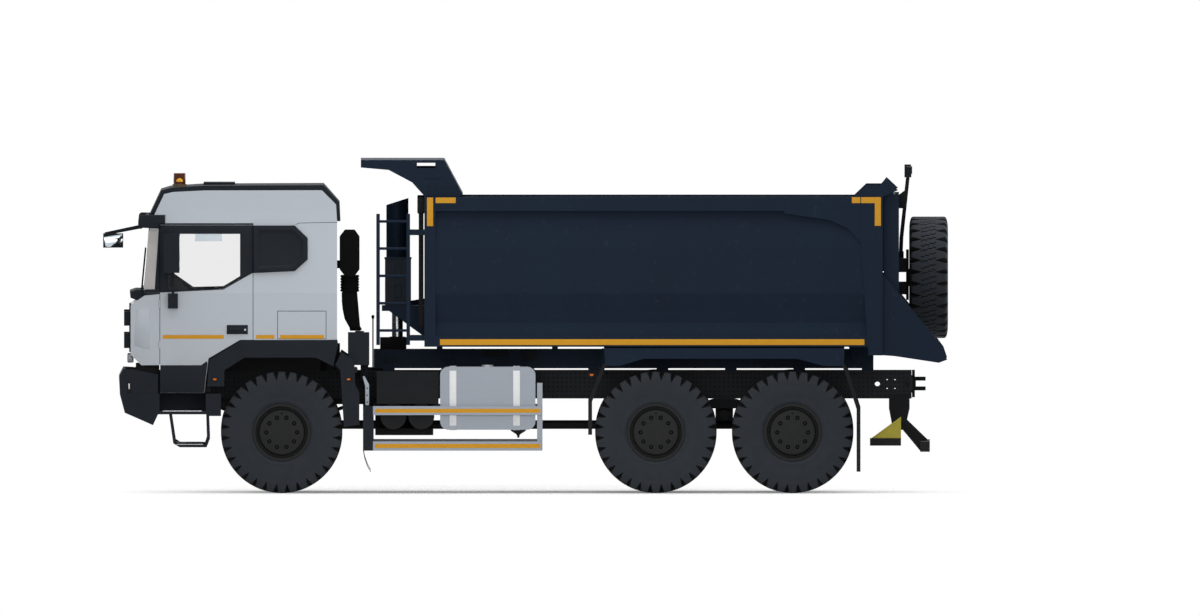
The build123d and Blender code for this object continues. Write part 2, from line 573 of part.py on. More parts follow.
with BuildPart() as cab_lamps:
    block(-4111, -4043, 760, 1120, 1713, 1858)
    block(-4111, -4043, 760, 1120, 1484, 1629)
    both_sides()
    bar_z(-3542, -700, 3100, 3160, 73)
    with Locations((-3542, -700, 3160)):
        Cylinder(60, 110, align=(Align.CENTER, Align.CENTER, Align.MIN))
    add(cab_roof.part, mode=Mode.SUBTRACT)
save(cab_lamps, "cab_lamps")

INTAKE = [(-1904, 2290), (-1850, 2221), (-1750, 2221), (-1700, 2290), (-1700, 2625), (-1750, 2695), (-1850, 2695), (-1904, 2625)]
with BuildPart() as air_intake:
    side_plate(INTAKE, -1080, -800)
    bar_z(-1800, -940, 2060, 2230, 85)
    side_plate([(-1872, 2100), (-1728, 2100), (-1690, 1660), (-1798, 1660)], -990, -890)
    block(CAB_BACK_X, -1880, -1000, -880, 2300, 2380)
save(air_intake, "air_intake")

# Doors: bent slabs with a pane and a mirror each
with BuildPart() as door_right:
    side_plate(DOOR, 900, 1300)
    wall_band(0, WALL, -3800, -2700, Mode.INTERSECT)
    side_plate(WINDOW, 900, 1300, mode=Mode.SUBTRACT)
    block(-3059, -2843, BODY_HALF - 5, BODY_HALF + 10, 1628, 1722)
    for z in DOOR_HINGES:
        bar_z(DOOR_FRONT_X, BODY_HALF, z + 1, z + 79, 10)
        block(DOOR_FRONT_X, DOOR_FRONT_X + 20, BODY_HALF - 6, BODY_HALF, z + 1, z + 79)
save(door_right, "door_right")
with BuildPart() as door_left:
    mirror(door_right.part, about=Plane.XZ)
save(door_left, "door_left")
with BuildPart() as door_glass_right:
    side_plate(WINDOW, 900, 1300)
    wall_band(18, 26, -3800, -2700, Mode.INTERSECT)
save(door_glass_right, "door_glass_right")
with BuildPart() as door_glass_left:
    mirror(door_glass_right.part, about=Plane.XZ)
save(door_glass_left, "door_glass_left")
with BuildPart() as mirror_form:
    block(-3707, -3543, 1290, 1440, 2257, 2656)
    bar_y(-3690, 2300, 1195, 1300, 14)
    bar_y(-3690, 2690, 1160, 1320, 14)
    bar_z(-3690, 1310, 2640, 2700, 14)
    block(-3661, -3559, BODY_HALF, 1300, 1891, 2045)
    bar_z(-3610, 1290, 2000, 2270, 14)
    add(door_right.part, mode=Mode.SUBTRACT)
with BuildPart() as door_mirror_right:
    add(mirror_form.part)
    block(-3384, -3108, 1280, 1440, 2552, 2652)
    block(-3260, -3230, 1280, 1310, 2640, 2690)
    block(-3260, -3230, 1150, 1300, 2665, 2690)
    add(door_right.part, mode=Mode.SUBTRACT)
save(door_mirror_right, "door_mirror_right")
with BuildPart() as door_mirror_left:
    mirror(mirror_form.part, about=Plane.XZ)
save(door_mirror_left, "door_mirror_left")

# Front bumper with cab steps
BUMPER_SIDE = [
    (-4162, 1188), (-4119, 1273), (-4018, 1268), (-3763, 1214), (-3763, 806), (-3814, 696), (-4103, 823), (-4153, 1010),
]
BUMPER_FRONT = [
    (-4162, 1188), (-4119, 1273), (-4095, 1272), (-4120, 1180), (-4112, 1010), (-4060, 850), (-4060, 804), (-4103, 823),
    (-4153, 1010),
]
with BuildPart() as front_bumper:
    side_plate(BUMPER_SIDE, 1190, BODY_HALF)
    block(-3765, -3748, 905, BODY_HALF, 807, 1018)
    block(-3765, -3254, 905, BODY_HALF, 807, 837)
    block(-3765, -3254, 905, 925, 807, 1018)
    block(-3274, -3254, 905, BODY_HALF, 807, 1018)
    block(-3260, -3118, 1215, BODY_HALF, 790, 1018)
    side_plate([(-3650, 810), (-3607, 510), (-3540, 470), (-3265, 470), (-3230, 560), (-3240, 810), (-3270, 810),
                (-3262, 560), (-3280, 500), (-3530, 500), (-3580, 530), (-3622, 810)], 1195, 1225)
    both_sides()
    side_plate(BUMPER_FRONT, -1195, 1195)
    block(-4118, -3950, RAIL_INNER_Y, RAIL_OUTER_Y, 1010, 1120)
    block(-4118, -3950, -RAIL_OUTER_Y, -RAIL_INNER_Y, 1010, 1120)
save(front_bumper, "front_bumper")

# Tanks, boxes and guards on the chassis sides
with BuildPart() as fuel_tank:
    block(-875, 100, -1190, -560, 649, 1294)
    fillet(fuel_tank.edges().filter_by(Axis.Y), 85)
    bar_z(-390, -1000, 1285, 1312, 60)
    block(-778, -712, -600, -RAIL_OUTER_Y, 1000, 1050)
    block(-125, -60, -600, -RAIL_OUTER_Y, 1000, 1050)
with BuildPart() as fuel_tanks:
    add(fuel_tank.part)
    mirror(fuel_tank.part, about=Plane.XZ)
save(fuel_tanks, "fuel_tanks")

with BuildPart() as battery_box:
    block(-1524, -891, -1190, -640, 913, 1242)
    for x in (-1354, -1067):
        bar_y(x, 786, -1170, -640, 132)
    block(-1300, -1100, -660, -RAIL_OUTER_Y, 1000, 1100)
save(battery_box, "battery_box")

with BuildPart() as oil_tank:
    block(-1819, -1600, -1150, -800, 1310, 1645)
    bar_z(-1700, -1000, 1640, 1659, 45)
    block(-1690, -1610, -830, -RAIL_OUTER_Y, 1150, 1330)
save(oil_tank, "oil_tank")

with BuildPart() as side_guards:
    block(-1562, 163, 1195, 1230, 800, 891)
    block(-1562, 163, 1195, 1230, 435, 530)
    block(-1665, -1555, 1190, 1228, 435, 891)
    block(117, 172, 1165, 1200, 438, 1129)
    block(120, 168, RAIL_OUTER_Y, 1180, 1085, 1125)
    block(-1650, -1580, RAIL_OUTER_Y, 1195, 845, 885)
    block(-1650, -1580, RAIL_OUTER_Y, 450, 845, 1000)
    both_sides()
save(side_guards, "side_guards")

with BuildPart() as underrun_guard:
    side_plate([(3718, 1000), (3930, 1000), (3930, 860), (3880, 640), (3760, 640), (3718, 860)], RAIL_OUTER_Y, 440)
    side_plate([(3760, 760), (3880, 760), (4120, 528), (4120, 423), (4040, 423)], RAIL_OUTER_Y, 440)
    both_sides()
    block(4038, 4137, -1150, 1150, 423, 528)
    block(3524, 3842, -900, -720, 483, 560)
    side_plate([(3540, 560), (3842, 560), (3842, 780)], -890, -730)
    block(3780, 3842, -740, -430, 640, 720)
save(underrun_guard, "underrun_guard")

# Mudguards: front tails, rear fenders, stays and flaps
FRONT_TAIL = [(-1884, 1447), (-1755, 1359), (-1743, 1107), (-1702, 1030), (-1702, 701), (-1861, 678), (-1896, 1259), (-1949, 1312)]
REAR_FENDER = [
    (801, 1485), (3263, 1485), (3256, 1303), (3054, 1303), (2779, 1376), (1213, 1376), (957, 1303), (816, 1303),
]
with BuildPart() as mudguards:
    side_plate(FRONT_TAIL, 1215, 1240)
    block(-1765, -1755, 850, 1220, 701, 1305)
    bar_y(-1740, 1250, RAIL_OUTER_Y, 1220, 20)
    side_plate(REAR_FENDER, 1205, 1230)
    block(801, 3263, 850, 1230, 1460, 1485)
    side_plate([(830, 1320), (790, 1230), (680, 937), (680, 598), (640, 598), (640, 937), (750, 1230), (801, 1330)], 1190, 1230)
    side_plate([(3230, 1320), (3270, 1230), (3387, 859), (3387, 220), (3427, 220), (3427, 859), (3310, 1230), (3262, 1330)], 1190, 1230)
    block(655, 665, 850, 1200, 598, 950)
    block(3400, 3412, 850, 1200, 220, 860)
    bar_y(790, 1220, RAIL_OUTER_Y, 1200, 20)
    bar_y(3285, 1220, RAIL_OUTER_Y, 1200, 20)
    block(780, 800, 860, 880, 1210, 1462)
    both_sides()
save(mudguards, "mudguards")

with BuildPart() as chassis_lamps:
    block(3930, 3960, 780, 1100, 1060, 1180)
    block(3900, 3931, RAIL_OUTER_Y, 900, 1100, 1140)
    both_sides()
save(chassis_lamps, "chassis_lamps")
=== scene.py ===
"""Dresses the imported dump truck: rubber, paint, tape, nuts and trim over its CAD, and a pale studio."""
import json
from math import atan2, cos, pi, radians, sin

import bpy
from bpy.props import FloatProperty, FloatVectorProperty, IntProperty, PointerProperty
from mathutils import Matrix, Vector


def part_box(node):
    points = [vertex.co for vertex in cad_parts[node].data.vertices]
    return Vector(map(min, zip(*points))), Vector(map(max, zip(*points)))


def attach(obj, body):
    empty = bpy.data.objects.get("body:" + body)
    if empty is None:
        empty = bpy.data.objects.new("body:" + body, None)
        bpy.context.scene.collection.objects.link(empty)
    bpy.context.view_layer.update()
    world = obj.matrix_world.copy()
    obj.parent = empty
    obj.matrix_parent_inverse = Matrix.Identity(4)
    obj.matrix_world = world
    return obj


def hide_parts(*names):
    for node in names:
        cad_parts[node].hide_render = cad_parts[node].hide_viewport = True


bl_info = {
    "name": "Dump truck dressing",
    "version": (1, 0, 0),
    "blender": (4, 5, 0),
    "location": "3D View > Sidebar > Truck",
    "description": "Models the tyres, tape, trim and finishes of a three-axle dump truck over its CAD frame",
    "category": "Object",
}

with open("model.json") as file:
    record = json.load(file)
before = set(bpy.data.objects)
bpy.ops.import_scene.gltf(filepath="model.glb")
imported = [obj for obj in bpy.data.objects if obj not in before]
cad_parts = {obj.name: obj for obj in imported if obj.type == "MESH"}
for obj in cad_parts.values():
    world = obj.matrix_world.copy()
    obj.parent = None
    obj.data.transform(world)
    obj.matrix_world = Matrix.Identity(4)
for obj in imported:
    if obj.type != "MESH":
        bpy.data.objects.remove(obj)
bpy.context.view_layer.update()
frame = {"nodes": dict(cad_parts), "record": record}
NODES = frame["nodes"]
SLOT_OF = {part["node"]: part["material_slot"] for part in frame["record"]["subparts"]}


def middle(node):
    """Centre of a CAD node's box."""
    low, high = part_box(node)
    return (low + high) / 2


WHEEL_PLACES = {
    place: middle(f"tyre_{place}")
    for place in ("front_left", "front_right", "middle_left", "middle_right", "rear_left", "rear_right")
}
SPARE_PLACE = middle("spare_tyre")
TYRE_RADIUS = (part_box("tyre_front_left")[1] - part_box("tyre_front_left")[0]).z / 2
BEACON_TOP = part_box("cab_lamps")[1].z

BEACON_X = -3.542
BEACON_Y = -0.700
RAIL_PITCH = 0.046
RAIL_HOLE = 0.009
RAIL_WEB_Y = 0.423
HANDS = (("left", -1), ("right", 1))
AXLE = Vector((0, 1, 0))
WELD = 1e-5

# Cab wall: upright up to the sill, then leaning in
WALL_OUT = 1.235
SILL_Z = 2.05
LEAN = atan2(0.080, 0.850)

# Wheel face and the floor of its nut recesses, from the wheel's middle
WHEEL_FACE = -0.173
RECESS_FLOOR = -0.157


class TruckColours(bpy.types.PropertyGroup):
    """Colours of the truck's finishes."""

    cab: FloatVectorProperty(
        name="Cab paint", description="Gloss paint of the cab panels", subtype="COLOR",
        default=(0.46, 0.505, 0.555), min=0, max=1)
    trim: FloatVectorProperty(
        name="Dark trim", description="Grained plastic of the cladding", subtype="COLOR",
        default=(0.0166, 0.0206, 0.0263), min=0, max=1)
    bed: FloatVectorProperty(
        name="Bed paint", description="Satin paint of the tipping bed", subtype="COLOR",
        default=(0.0088, 0.0166, 0.0313), min=0, max=1)
    chassis: FloatVectorProperty(
        name="Chassis paint", description="Paint of the frame and axles", subtype="COLOR",
        default=(0.012, 0.013, 0.015), min=0, max=1)
    tape: FloatVectorProperty(
        name="Marking tape", description="Orange-yellow marking tape", subtype="COLOR",
        default=(0.60, 0.285, 0.012), min=0, max=1)
    rubber: FloatVectorProperty(
        name="Rubber", description="Tyre rubber", subtype="COLOR",
        default=(0.027, 0.032, 0.039), min=0, max=1)
    rim: FloatVectorProperty(
        name="Rim paint", description="Satin paint of the wheel discs", subtype="COLOR",
        default=(0.019, 0.0195, 0.020), min=0, max=1)
    aluminium: FloatVectorProperty(
        name="Aluminium", description="Bare aluminium of the tanks and guards", subtype="COLOR",
        default=(0.24, 0.262, 0.295), min=0, max=1)
    amber: FloatVectorProperty(
        name="Amber lens", description="Beacon and marker lenses", subtype="COLOR",
        default=(0.78, 0.17, 0.004), min=0, max=1)
    chock: FloatVectorProperty(
        name="Wheel chock", description="Painted wheel chock", subtype="COLOR",
        default=(0.42, 0.36, 0.02), min=0, max=1)


class TruckSizes(bpy.types.PropertyGroup):
    """Sizes of the pieces that are added to the frame."""

    tape_thickness: FloatProperty(
        name="Tape thickness", description="How far the marking tape stands off its panel",
        default=0.0015, min=0.0005, max=0.01, unit="LENGTH")
    lug_count: IntProperty(
        name="Lugs", description="Tread lugs round one shoulder of a tyre", default=32, min=12, max=60)
    lug_height: FloatProperty(
        name="Lug height", description="Depth of the tread grooves",
        default=0.020, min=0.005, max=0.05, unit="LENGTH")
    notch_width: FloatProperty(
        name="Notch width", description="Half width of a shoulder notch at its cutter's top",
        default=0.047, min=0.01, max=0.060, unit="LENGTH")
    sipe_width: FloatProperty(
        name="Sipe width", description="Width of the bent grooves along the tread",
        default=0.012, min=0.004, max=0.03, unit="LENGTH")
    nut_count: IntProperty(name="Wheel nuts", description="Nuts on one wheel disc", default=10, min=4, max=20)
    nut_circle: FloatProperty(
        name="Nut circle", description="Radius of the ring of wheel nuts",
        default=0.157, min=0.05, max=0.25, unit="LENGTH")
    camera_lift: FloatProperty(
        name="Camera lift", description="Angle of the camera above the horizon",
        default=radians(0.6), min=0.0, max=0.5, subtype="ANGLE")


class Value:
    """A number that varies over a surface, worked with Python's own operators."""

    def __init__(self, nodes, socket):
        self.nodes = nodes
        self.socket = socket

    def _math(self, operation, first, second):
        return self.nodes.add("ShaderNodeMath", {"operation": operation}, [first, second])

    def __add__(self, other):
        return self._math("ADD", self, other)

    __radd__ = __add__

    def __sub__(self, other):
        return self._math("SUBTRACT", self, other)

    def __rsub__(self, other):
        return self._math("SUBTRACT", other, self)

    def __mul__(self, other):
        return self._math("MULTIPLY", self, other)

    __rmul__ = __mul__

    def __mod__(self, other):
        return self._math("MODULO", self, other)

    def __gt__(self, other):
        return self._math("GREATER_THAN", self, other)

    def __lt__(self, other):
        return self._math("LESS_THAN", self, other)

    def __pow__(self, other):
        return self._math("POWER", self, other)


class Nodes:
    """A node tree and the ways to fill it."""

    def __init__(self, tree):
        self.tree = tree

    def add(self, kind, settings=None, inputs=None, out=0):
        """A node of one kind, its settings first, then its sockets' values or links."""
        node = self.tree.nodes.new(kind)
        for key, value in (settings or {}).items():
            setattr(node, key, value)
        pairs = inputs.items() if isinstance(inputs, dict) else enumerate(inputs or [])
        for key, value in pairs:
            self.feed(node.inputs[key], value)
        return Value(self, node.outputs[out])

    def feed(self, socket, value):
        """Link a varying value to a socket, or set a plain one on it."""
        if isinstance(value, Value):
            self.tree.links.new(value.socket, socket)
        elif socket.type == "RGBA" and len(value) == 3:
            socket.default_value = (*value, 1.0)
        else:
            socket.default_value = value


class Look(Nodes):
    """One finish: a Principled material and the patterns that vary it."""

    def __init__(self, name, **constants):
        self.material = bpy.data.materials.new(name)
        self.material.use_nodes = True
        super().__init__(self.material.node_tree)
        self.shader = self.tree.nodes["Principled BSDF"]
        for socket, value in constants.items():
            self.shader.inputs[socket.replace("_", " ")].default_value = value

    def place(self):
        """The piece's own coordinates in metres."""
        return self.add("ShaderNodeTexCoord", out="Object")

    def along(self, axis):
        """One of the piece's coordinates."""
        return self.add("ShaderNodeSeparateXYZ", None, [self.place()], out="XYZ".index(axis))

    def noise(self, scale, detail=3.0, stretch=(1, 1, 1)):
        """Soft cloudy variation, from about 0 to 1."""
        where = self.add("ShaderNodeMapping", None, {"Vector": self.place(), "Scale": stretch})
        return self.add("ShaderNodeTexNoise", None, {"Vector": where, "Scale": scale, "Detail": detail})

    def cells(self, scale):
        """Distance from scattered points, for grain and honeycomb."""
        return self.add("ShaderNodeTexVoronoi", None, {"Vector": self.place(), "Scale": scale})

    def mix(self, factor, first, second):
        """One colour going over into another."""
        return self.add("ShaderNodeMix", {"data_type": "RGBA"}, {0: factor, 6: first, 7: second}, out=2)

    def ramp(self, value, low, high):
        """A value stretched so that low is 0 and high is 1."""
        return self.add("ShaderNodeMapRange", {"clamp": True}, {0: value, 1: low, 2: high})

    def colour(self, value):
        self.feed(self.shader.inputs["Base Color"], value)

    def roughness(self, value):
        self.feed(self.shader.inputs["Roughness"], value)

    def bump(self, height, strength, distance=0.001):
        inputs = {"Strength": strength, "Distance": distance, "Height": height}
        self.feed(self.shader.inputs["Normal"], self.add("ShaderNodeBump", None, inputs))

    def vary(self, pattern, low, high, rough, spread):
        """Let the colour and the roughness follow a pattern."""
        self.colour(self.mix(pattern, low, high))
        self.roughness(rough + pattern * spread)


def shade(colour, factor):
    """A colour made darker or lighter."""
    return tuple(min(1.0, channel * factor) for channel in colour)


def shades(colour, low, high):
    """A colour made darker and lighter, as the two ends of a pattern."""
    return shade(colour, low), shade(colour, high)


def plain_finishes(hue):
    """The finishes whose colour, roughness and bump all follow one pattern, by slot or part name."""
    # slot, material, constants, noise or a cell scale, two colours, roughness and spread,
    # bump strength and depth
    rows = [
        ("aluminium", "brushed_aluminium", {"Metallic": 0.75}, (60.0, 4.0, (0.05, 1.0, 4.0)),
         shades(hue.aluminium, 0.86, 1.12), (0.36, 0.22), (0.06, 0.0005)),
        ("hoist_steel", "ground_rod_steel", {"Metallic": 1.0}, (40.0, 3.0, (1.0, 1.0, 8.0)),
         ((0.42, 0.43, 0.45), (0.58, 0.59, 0.61)), (0.18, 0.14), None),
        ("engine_iron", "engine_cast_iron", {"Metallic": 0.2, "Specular_IOR_Level": 0.15}, (30.0, 7.0),
         ((0.02, 0.021, 0.023), (0.05, 0.05, 0.052)), (0.6, 0.25), (0.4, 0.002)),
        ("glass", "clear_pane", {"Alpha": 0.05, "IOR": 1.45, "Coat_Weight": 0.2}, (3.0, 4.0),
         ((0.03, 0.04, 0.045), (0.05, 0.06, 0.065)), (0.03, 0.05), None),
        # painted reflection: the windscreen's wrapped edge is opaque, its warm grey painted in for the light
        # its glass mirrors
        ("screen", "windscreen_edge_reflection", {"IOR": 1.45, "Coat_Weight": 0.2}, (2.0, 4.0),
         ((0.40, 0.375, 0.365), (0.47, 0.445, 0.435)), (0.10, 0.08), None),
        ("lamp", "clear_lamp_lens", {"IOR": 1.49, "Coat_Weight": 0.6}, 70.0,
         ((0.12, 0.13, 0.14), (0.26, 0.28, 0.30)), (0.08, 0.18), (0.3,)),
        ("amber", "amber_lens", {"Specular_IOR_Level": 0.15}, 60.0,
         shades(hue.amber, 0.7, 1.0), (0.12, 0.2), (0.3,)),
        ("red", "red_lens", {"Coat_Weight": 0.5, "IOR": 1.49}, 60.0,
         ((0.22, 0.005, 0.004), (0.45, 0.012, 0.01)), (0.12, 0.2), (0.3,)),
        ("chock", "chock_paint", {}, (20.0, 6.0),
         shades(hue.chock, 0.75, 1.15), (0.45, 0.25), None),
        ("mirror", "mirror_silver", {"Metallic": 1.0}, (6.0, 3.0),
         ((0.50, 0.57, 0.62), (0.58, 0.64, 0.69)), (0.03, 0.05), None),
        # dark rubber of the flaps and seals; on the walls of the tyre cuts it is painted shade
        ("flap", "flap_rubber_and_groove_shade", {"Specular_IOR_Level": 0.10}, (40.0, 5.0),
         ((0.010, 0.010, 0.011), (0.022, 0.022, 0.023)), (0.7, 0.2), (0.2,)),
        ("void", "unlit_recess", {"Specular_IOR_Level": 0.04}, (60.0, 4.0),
         ((0.003, 0.003, 0.003), (0.007, 0.007, 0.008)), (0.7, 0.2), None),
        ("strap", "strap_steel", {"Metallic": 0.3}, (80.0, 3.0, (0.2, 1.0, 1.0)),
         ((0.60, 0.61, 0.62), (0.70, 0.71, 0.72)), (0.42, 0.15), None),
        ("beacon_base", "beacon_base", {}, (24.0, 5.0),
         ((0.06, 0.032, 0.012), (0.11, 0.062, 0.022)), (0.45, 0.2), None),
    ]
    looks = {}
    for slot, name, constants, scale, (low, high), (rough, spread), relief in rows:
        look = looks[slot] = Look(name, **constants)
        pattern = look.cells(scale) if isinstance(scale, float) else look.noise(*scale)
        look.vary(pattern, low, high, rough, spread)
        if relief:
            look.bump(pattern, *relief)
    return looks


def make_finishes():
    """Every finish by its slot or part name."""
    hue = bpy.context.scene.truck_colours
    looks = plain_finishes(hue)

    gloss = looks["cab_paint"] = Look("cab_gloss_paint", Coat_Weight=0.25, Coat_Roughness=0.08,
                                      Specular_IOR_Level=0.35)
    dust = gloss.ramp(gloss.along("Z"), 1.75, 1.3) * gloss.noise(7.0, 5.0)
    paint = gloss.mix(gloss.noise(1.6), *shades(hue.cab, 0.97, 1.03))
    gloss.colour(gloss.mix(dust * 0.35, paint, (0.30, 0.30, 0.29)))
    gloss.roughness(0.26 + gloss.noise(9.0) * 0.10 + dust * 0.25)
    gloss.bump(gloss.noise(900.0, 1.0), 0.02)

    satin = looks["bed_paint"] = Look("bed_satin_paint", Specular_IOR_Level=0.06)
    streak = satin.noise(2.2, 6.0, (1.0, 1.0, 0.25))
    scuff = satin.ramp(satin.noise(14.0, 8.0), 0.62, 0.80)
    paint = satin.mix(streak, *shades(hue.bed, 0.85, 1.18))
    satin.colour(satin.mix(scuff * 0.25, paint, (0.055, 0.06, 0.07)))
    satin.roughness(0.40 + streak * 0.16 + scuff * 0.12)
    satin.bump(satin.noise(420.0, 2.0), 0.05)

    grain = looks["dark_trim"] = Look("grained_dark_plastic", Specular_IOR_Level=0.06)
    grain.vary(grain.noise(5.0, 4.0), *shades(hue.trim, 0.82, 1.22), 0.50, 0.18)
    grain.bump(grain.cells(420.0) + grain.noise(260.0, 3.0) * 0.6, 0.22, 0.0008)

    ladder = looks["chassis_paint"] = Look("chassis_paint", Specular_IOR_Level=0.06)
    grime = ladder.noise(6.0, 7.0)
    paint = ladder.mix(grime, *shades(hue.chassis, 0.8, 1.3))
    mud = ladder.ramp(ladder.along("Z"), 1.1, 0.3) * grime * 0.5
    ladder.colour(ladder.mix(mud, paint, (0.045, 0.042, 0.038)))
    ladder.roughness(0.44 + grime * 0.22)
    ladder.bump(ladder.noise(300.0, 2.0), 0.08)

    rail = looks["rail"] = Look("rail_paint_and_hole_shade", Specular_IOR_Level=0.12)
    grime = rail.noise(6.0, 7.0)
    # shifted by 10 m, because a remainder follows the sign of what is divided
    across = (rail.along("X") + 10.0) % RAIL_PITCH - RAIL_PITCH / 2
    upright = rail.along("Z") % RAIL_PITCH - RAIL_PITCH / 2
    depth = rail.along("Y")
    # painted shade: the frame's holes are not cut, but painted dark on its outer web, as the shade seen
    # through them
    hole = (across * across + upright * upright) ** 0.5 < RAIL_HOLE
    hole_shade = hole * (depth * depth > RAIL_WEB_Y ** 2)
    paint = rail.mix(grime, *shades(hue.chassis, 1.0, 1.5))
    rail.colour(rail.mix(hole_shade, paint, shade(hue.chassis, 0.2)))
    rail.roughness(0.46 + grime * 0.22)
    rail.bump(rail.noise(300.0, 2.0), 0.08)

    rubber = looks["tyre"] = Look("tyre_rubber", Specular_IOR_Level=0.10)
    rubber.vary(rubber.noise(11.0, 6.0), *shades(hue.rubber, 0.82, 1.25), 0.62, 0.2)
    rubber.bump(rubber.noise(380.0, 3.0) + rubber.noise(60.0, 2.0), 0.16)

    rim = looks["wheel_paint"] = Look("wheel_disc_paint", Specular_IOR_Level=0.08)
    rim.vary(rim.noise(18.0, 5.0), *shades(hue.rim, 0.85, 1.25), 0.42, 0.2)
    rim.bump(rim.noise(500.0, 2.0), 0.06)

    cloth = looks["interior"] = Look("cab_inside_plastic", Specular_IOR_Level=0.15)
    weave = cloth.cells(260.0)
    cloth.colour(cloth.mix(weave, (0.016, 0.017, 0.019), (0.035, 0.036, 0.04)))
    cloth.roughness(0.62 + cloth.noise(8.0) * 0.2)
    cloth.bump(weave, 0.25)

    tape = looks["tape"] = Look("marking_tape", Specular_IOR_Level=0.15)
    comb = tape.cells(180.0)
    wear = tape.ramp(tape.noise(9.0, 6.0), 0.55, 0.85)
    film = tape.mix(comb, *shades(hue.tape, 1.0, 1.12))
    tape.colour(tape.mix(wear * 0.3, film, shade(hue.tape, 0.75)))
    tape.roughness(0.32 + wear * 0.25)
    tape.bump(comb, 0.12, 0.0004)

    dome = looks["dome"] = Look("beacon_dome", Specular_IOR_Level=0.15)
    beside = dome.along("X") - BEACON_X
    above = dome.along("Z") - (BEACON_TOP - 0.085)
    glow = ((beside * beside + above * above) ** 0.5 < 0.034) * (above > 0.0)
    dome.colour(dome.mix(glow, (0.085, 0.018, 0.005), (1.0, 0.50, 0.03)))
    dome.roughness(0.10 + dome.noise(30.0) * 0.12)

    return {name: look.material for name, look in looks.items()}


FINISH = {}


def clear_selection():
    """Back to object mode with nothing selected."""
    if bpy.context.object is not None and bpy.context.object.mode != "OBJECT":
        bpy.ops.object.mode_set(mode="OBJECT")
    bpy.ops.object.select_all(action="DESELECT")


def pick(piece):
    """Select one piece alone and make it active."""
    clear_selection()
    piece.select_set(True)
    bpy.context.view_layer.objects.active = piece


def apply_place():
    """Put the selected piece's place, turn and scale into its mesh."""
    bpy.ops.object.transform_apply(location=True, rotation=True, scale=True)


def begin(name):
    """A new empty mesh at the origin, open in edit mode."""
    clear_selection()
    bpy.ops.object.add(type="MESH")
    piece = bpy.context.object
    piece.name = piece.data.name = name
    bpy.ops.object.mode_set(mode="EDIT")
    bpy.ops.mesh.select_mode(type="VERT")
    return piece


def trace(points, closed=True):
    """Walk a vertex along points by extruding it, and back to the first if closed."""
    bpy.ops.mesh.select_all(action="DESELECT")
    bpy.ops.mesh.primitive_plane_add(size=0.01, location=points[0])
    bpy.ops.mesh.merge(type="CENTER")
    here = Vector(points[0])
    for point in list(points[1:]) + ([points[0]] if closed else []):
        step = Vector(point) - here
        bpy.ops.mesh.extrude_vertices_move(TRANSFORM_OT_translate={"value": step})
        here = Vector(point)
    bpy.ops.mesh.select_all(action="SELECT")
    bpy.ops.mesh.remove_doubles(threshold=WELD)


def fill_and_thicken(push):
    """Fill the traced loops, holes left open, and extrude the face along push."""
    bpy.ops.mesh.select_all(action="SELECT")
    bpy.ops.mesh.fill(use_beauty=True)
    bpy.ops.mesh.select_all(action="SELECT")
    bpy.ops.mesh.extrude_region_move(TRANSFORM_OT_translate={"value": push})
    bpy.ops.mesh.select_all(action="SELECT")
    bpy.ops.mesh.normals_make_consistent(inside=False)
    clear_selection()


def spin_round(steps, axis=AXLE, centre=(0, 0, 0), repeat=False):
    """Sweep the mesh in edit mode round an axis, or repeat it there, and weld it."""
    bpy.ops.mesh.select_all(action="SELECT")
    bpy.ops.mesh.spin(steps=steps, dupli=repeat, angle=2 * pi, center=centre, axis=axis)
    bpy.ops.mesh.select_all(action="SELECT")
    bpy.ops.mesh.remove_doubles(threshold=WELD)
    bpy.ops.mesh.normals_make_consistent(inside=False)
    clear_selection()


def ring_of(piece, count):
    """Repeat a piece round the axle, half a step off the top."""
    pick(piece)
    piece.matrix_world = Matrix.Rotation(pi / count, 4, "Y")
    apply_place()
    bpy.ops.object.mode_set(mode="EDIT")
    spin_round(count, repeat=True)
    return piece


def cut_out(piece, cutter):
    """Take a closed mesh out of a piece."""
    pick(piece)
    cut = piece.modifiers.new("cut", "BOOLEAN")
    cut.operation = "DIFFERENCE"
    cut.solver = "EXACT"
    cut.object = cutter
    bpy.ops.object.modifier_apply(modifier=cut.name)
    bpy.data.objects.remove(cutter)


def select_faces(test):
    """Select the faces of the mesh in edit mode whose normal passes a test."""
    piece = bpy.context.object
    bpy.ops.mesh.select_mode(type="FACE")
    bpy.ops.mesh.select_all(action="DESELECT")
    bpy.ops.object.mode_set(mode="OBJECT")
    for face in piece.data.polygons:
        face.select = bool(test(face.normal))
    bpy.ops.object.mode_set(mode="EDIT")


def bevel_edges(piece, width, segments=2):
    """Round the sharp edges by a bevel that is applied."""
    pick(piece)
    rounding = piece.modifiers.new("rounding", "BEVEL")
    rounding.width = width
    rounding.segments = segments
    rounding.limit_method = "ANGLE"
    rounding.angle_limit = radians(35)
    bpy.ops.object.modifier_apply(modifier=rounding.name)


def finish_piece(piece, body, slot, finish=None, smooth=35):
    """Apply the place, smooth the faces, and hand the piece to its body."""
    pick(piece)
    apply_place()
    bpy.ops.object.shade_smooth_by_angle(angle=radians(smooth))
    piece.data.materials.clear()
    piece.data.materials.append(FINISH[finish or slot])
    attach(piece, body)
    return piece


def copy_piece(piece, name, turn):
    """A copy with its own mesh, moved by a turn and applied."""
    pick(piece)
    bpy.ops.object.duplicate(linked=False)
    twin = bpy.context.object
    twin.name = twin.data.name = name
    twin.matrix_world = turn
    apply_place()
    return twin


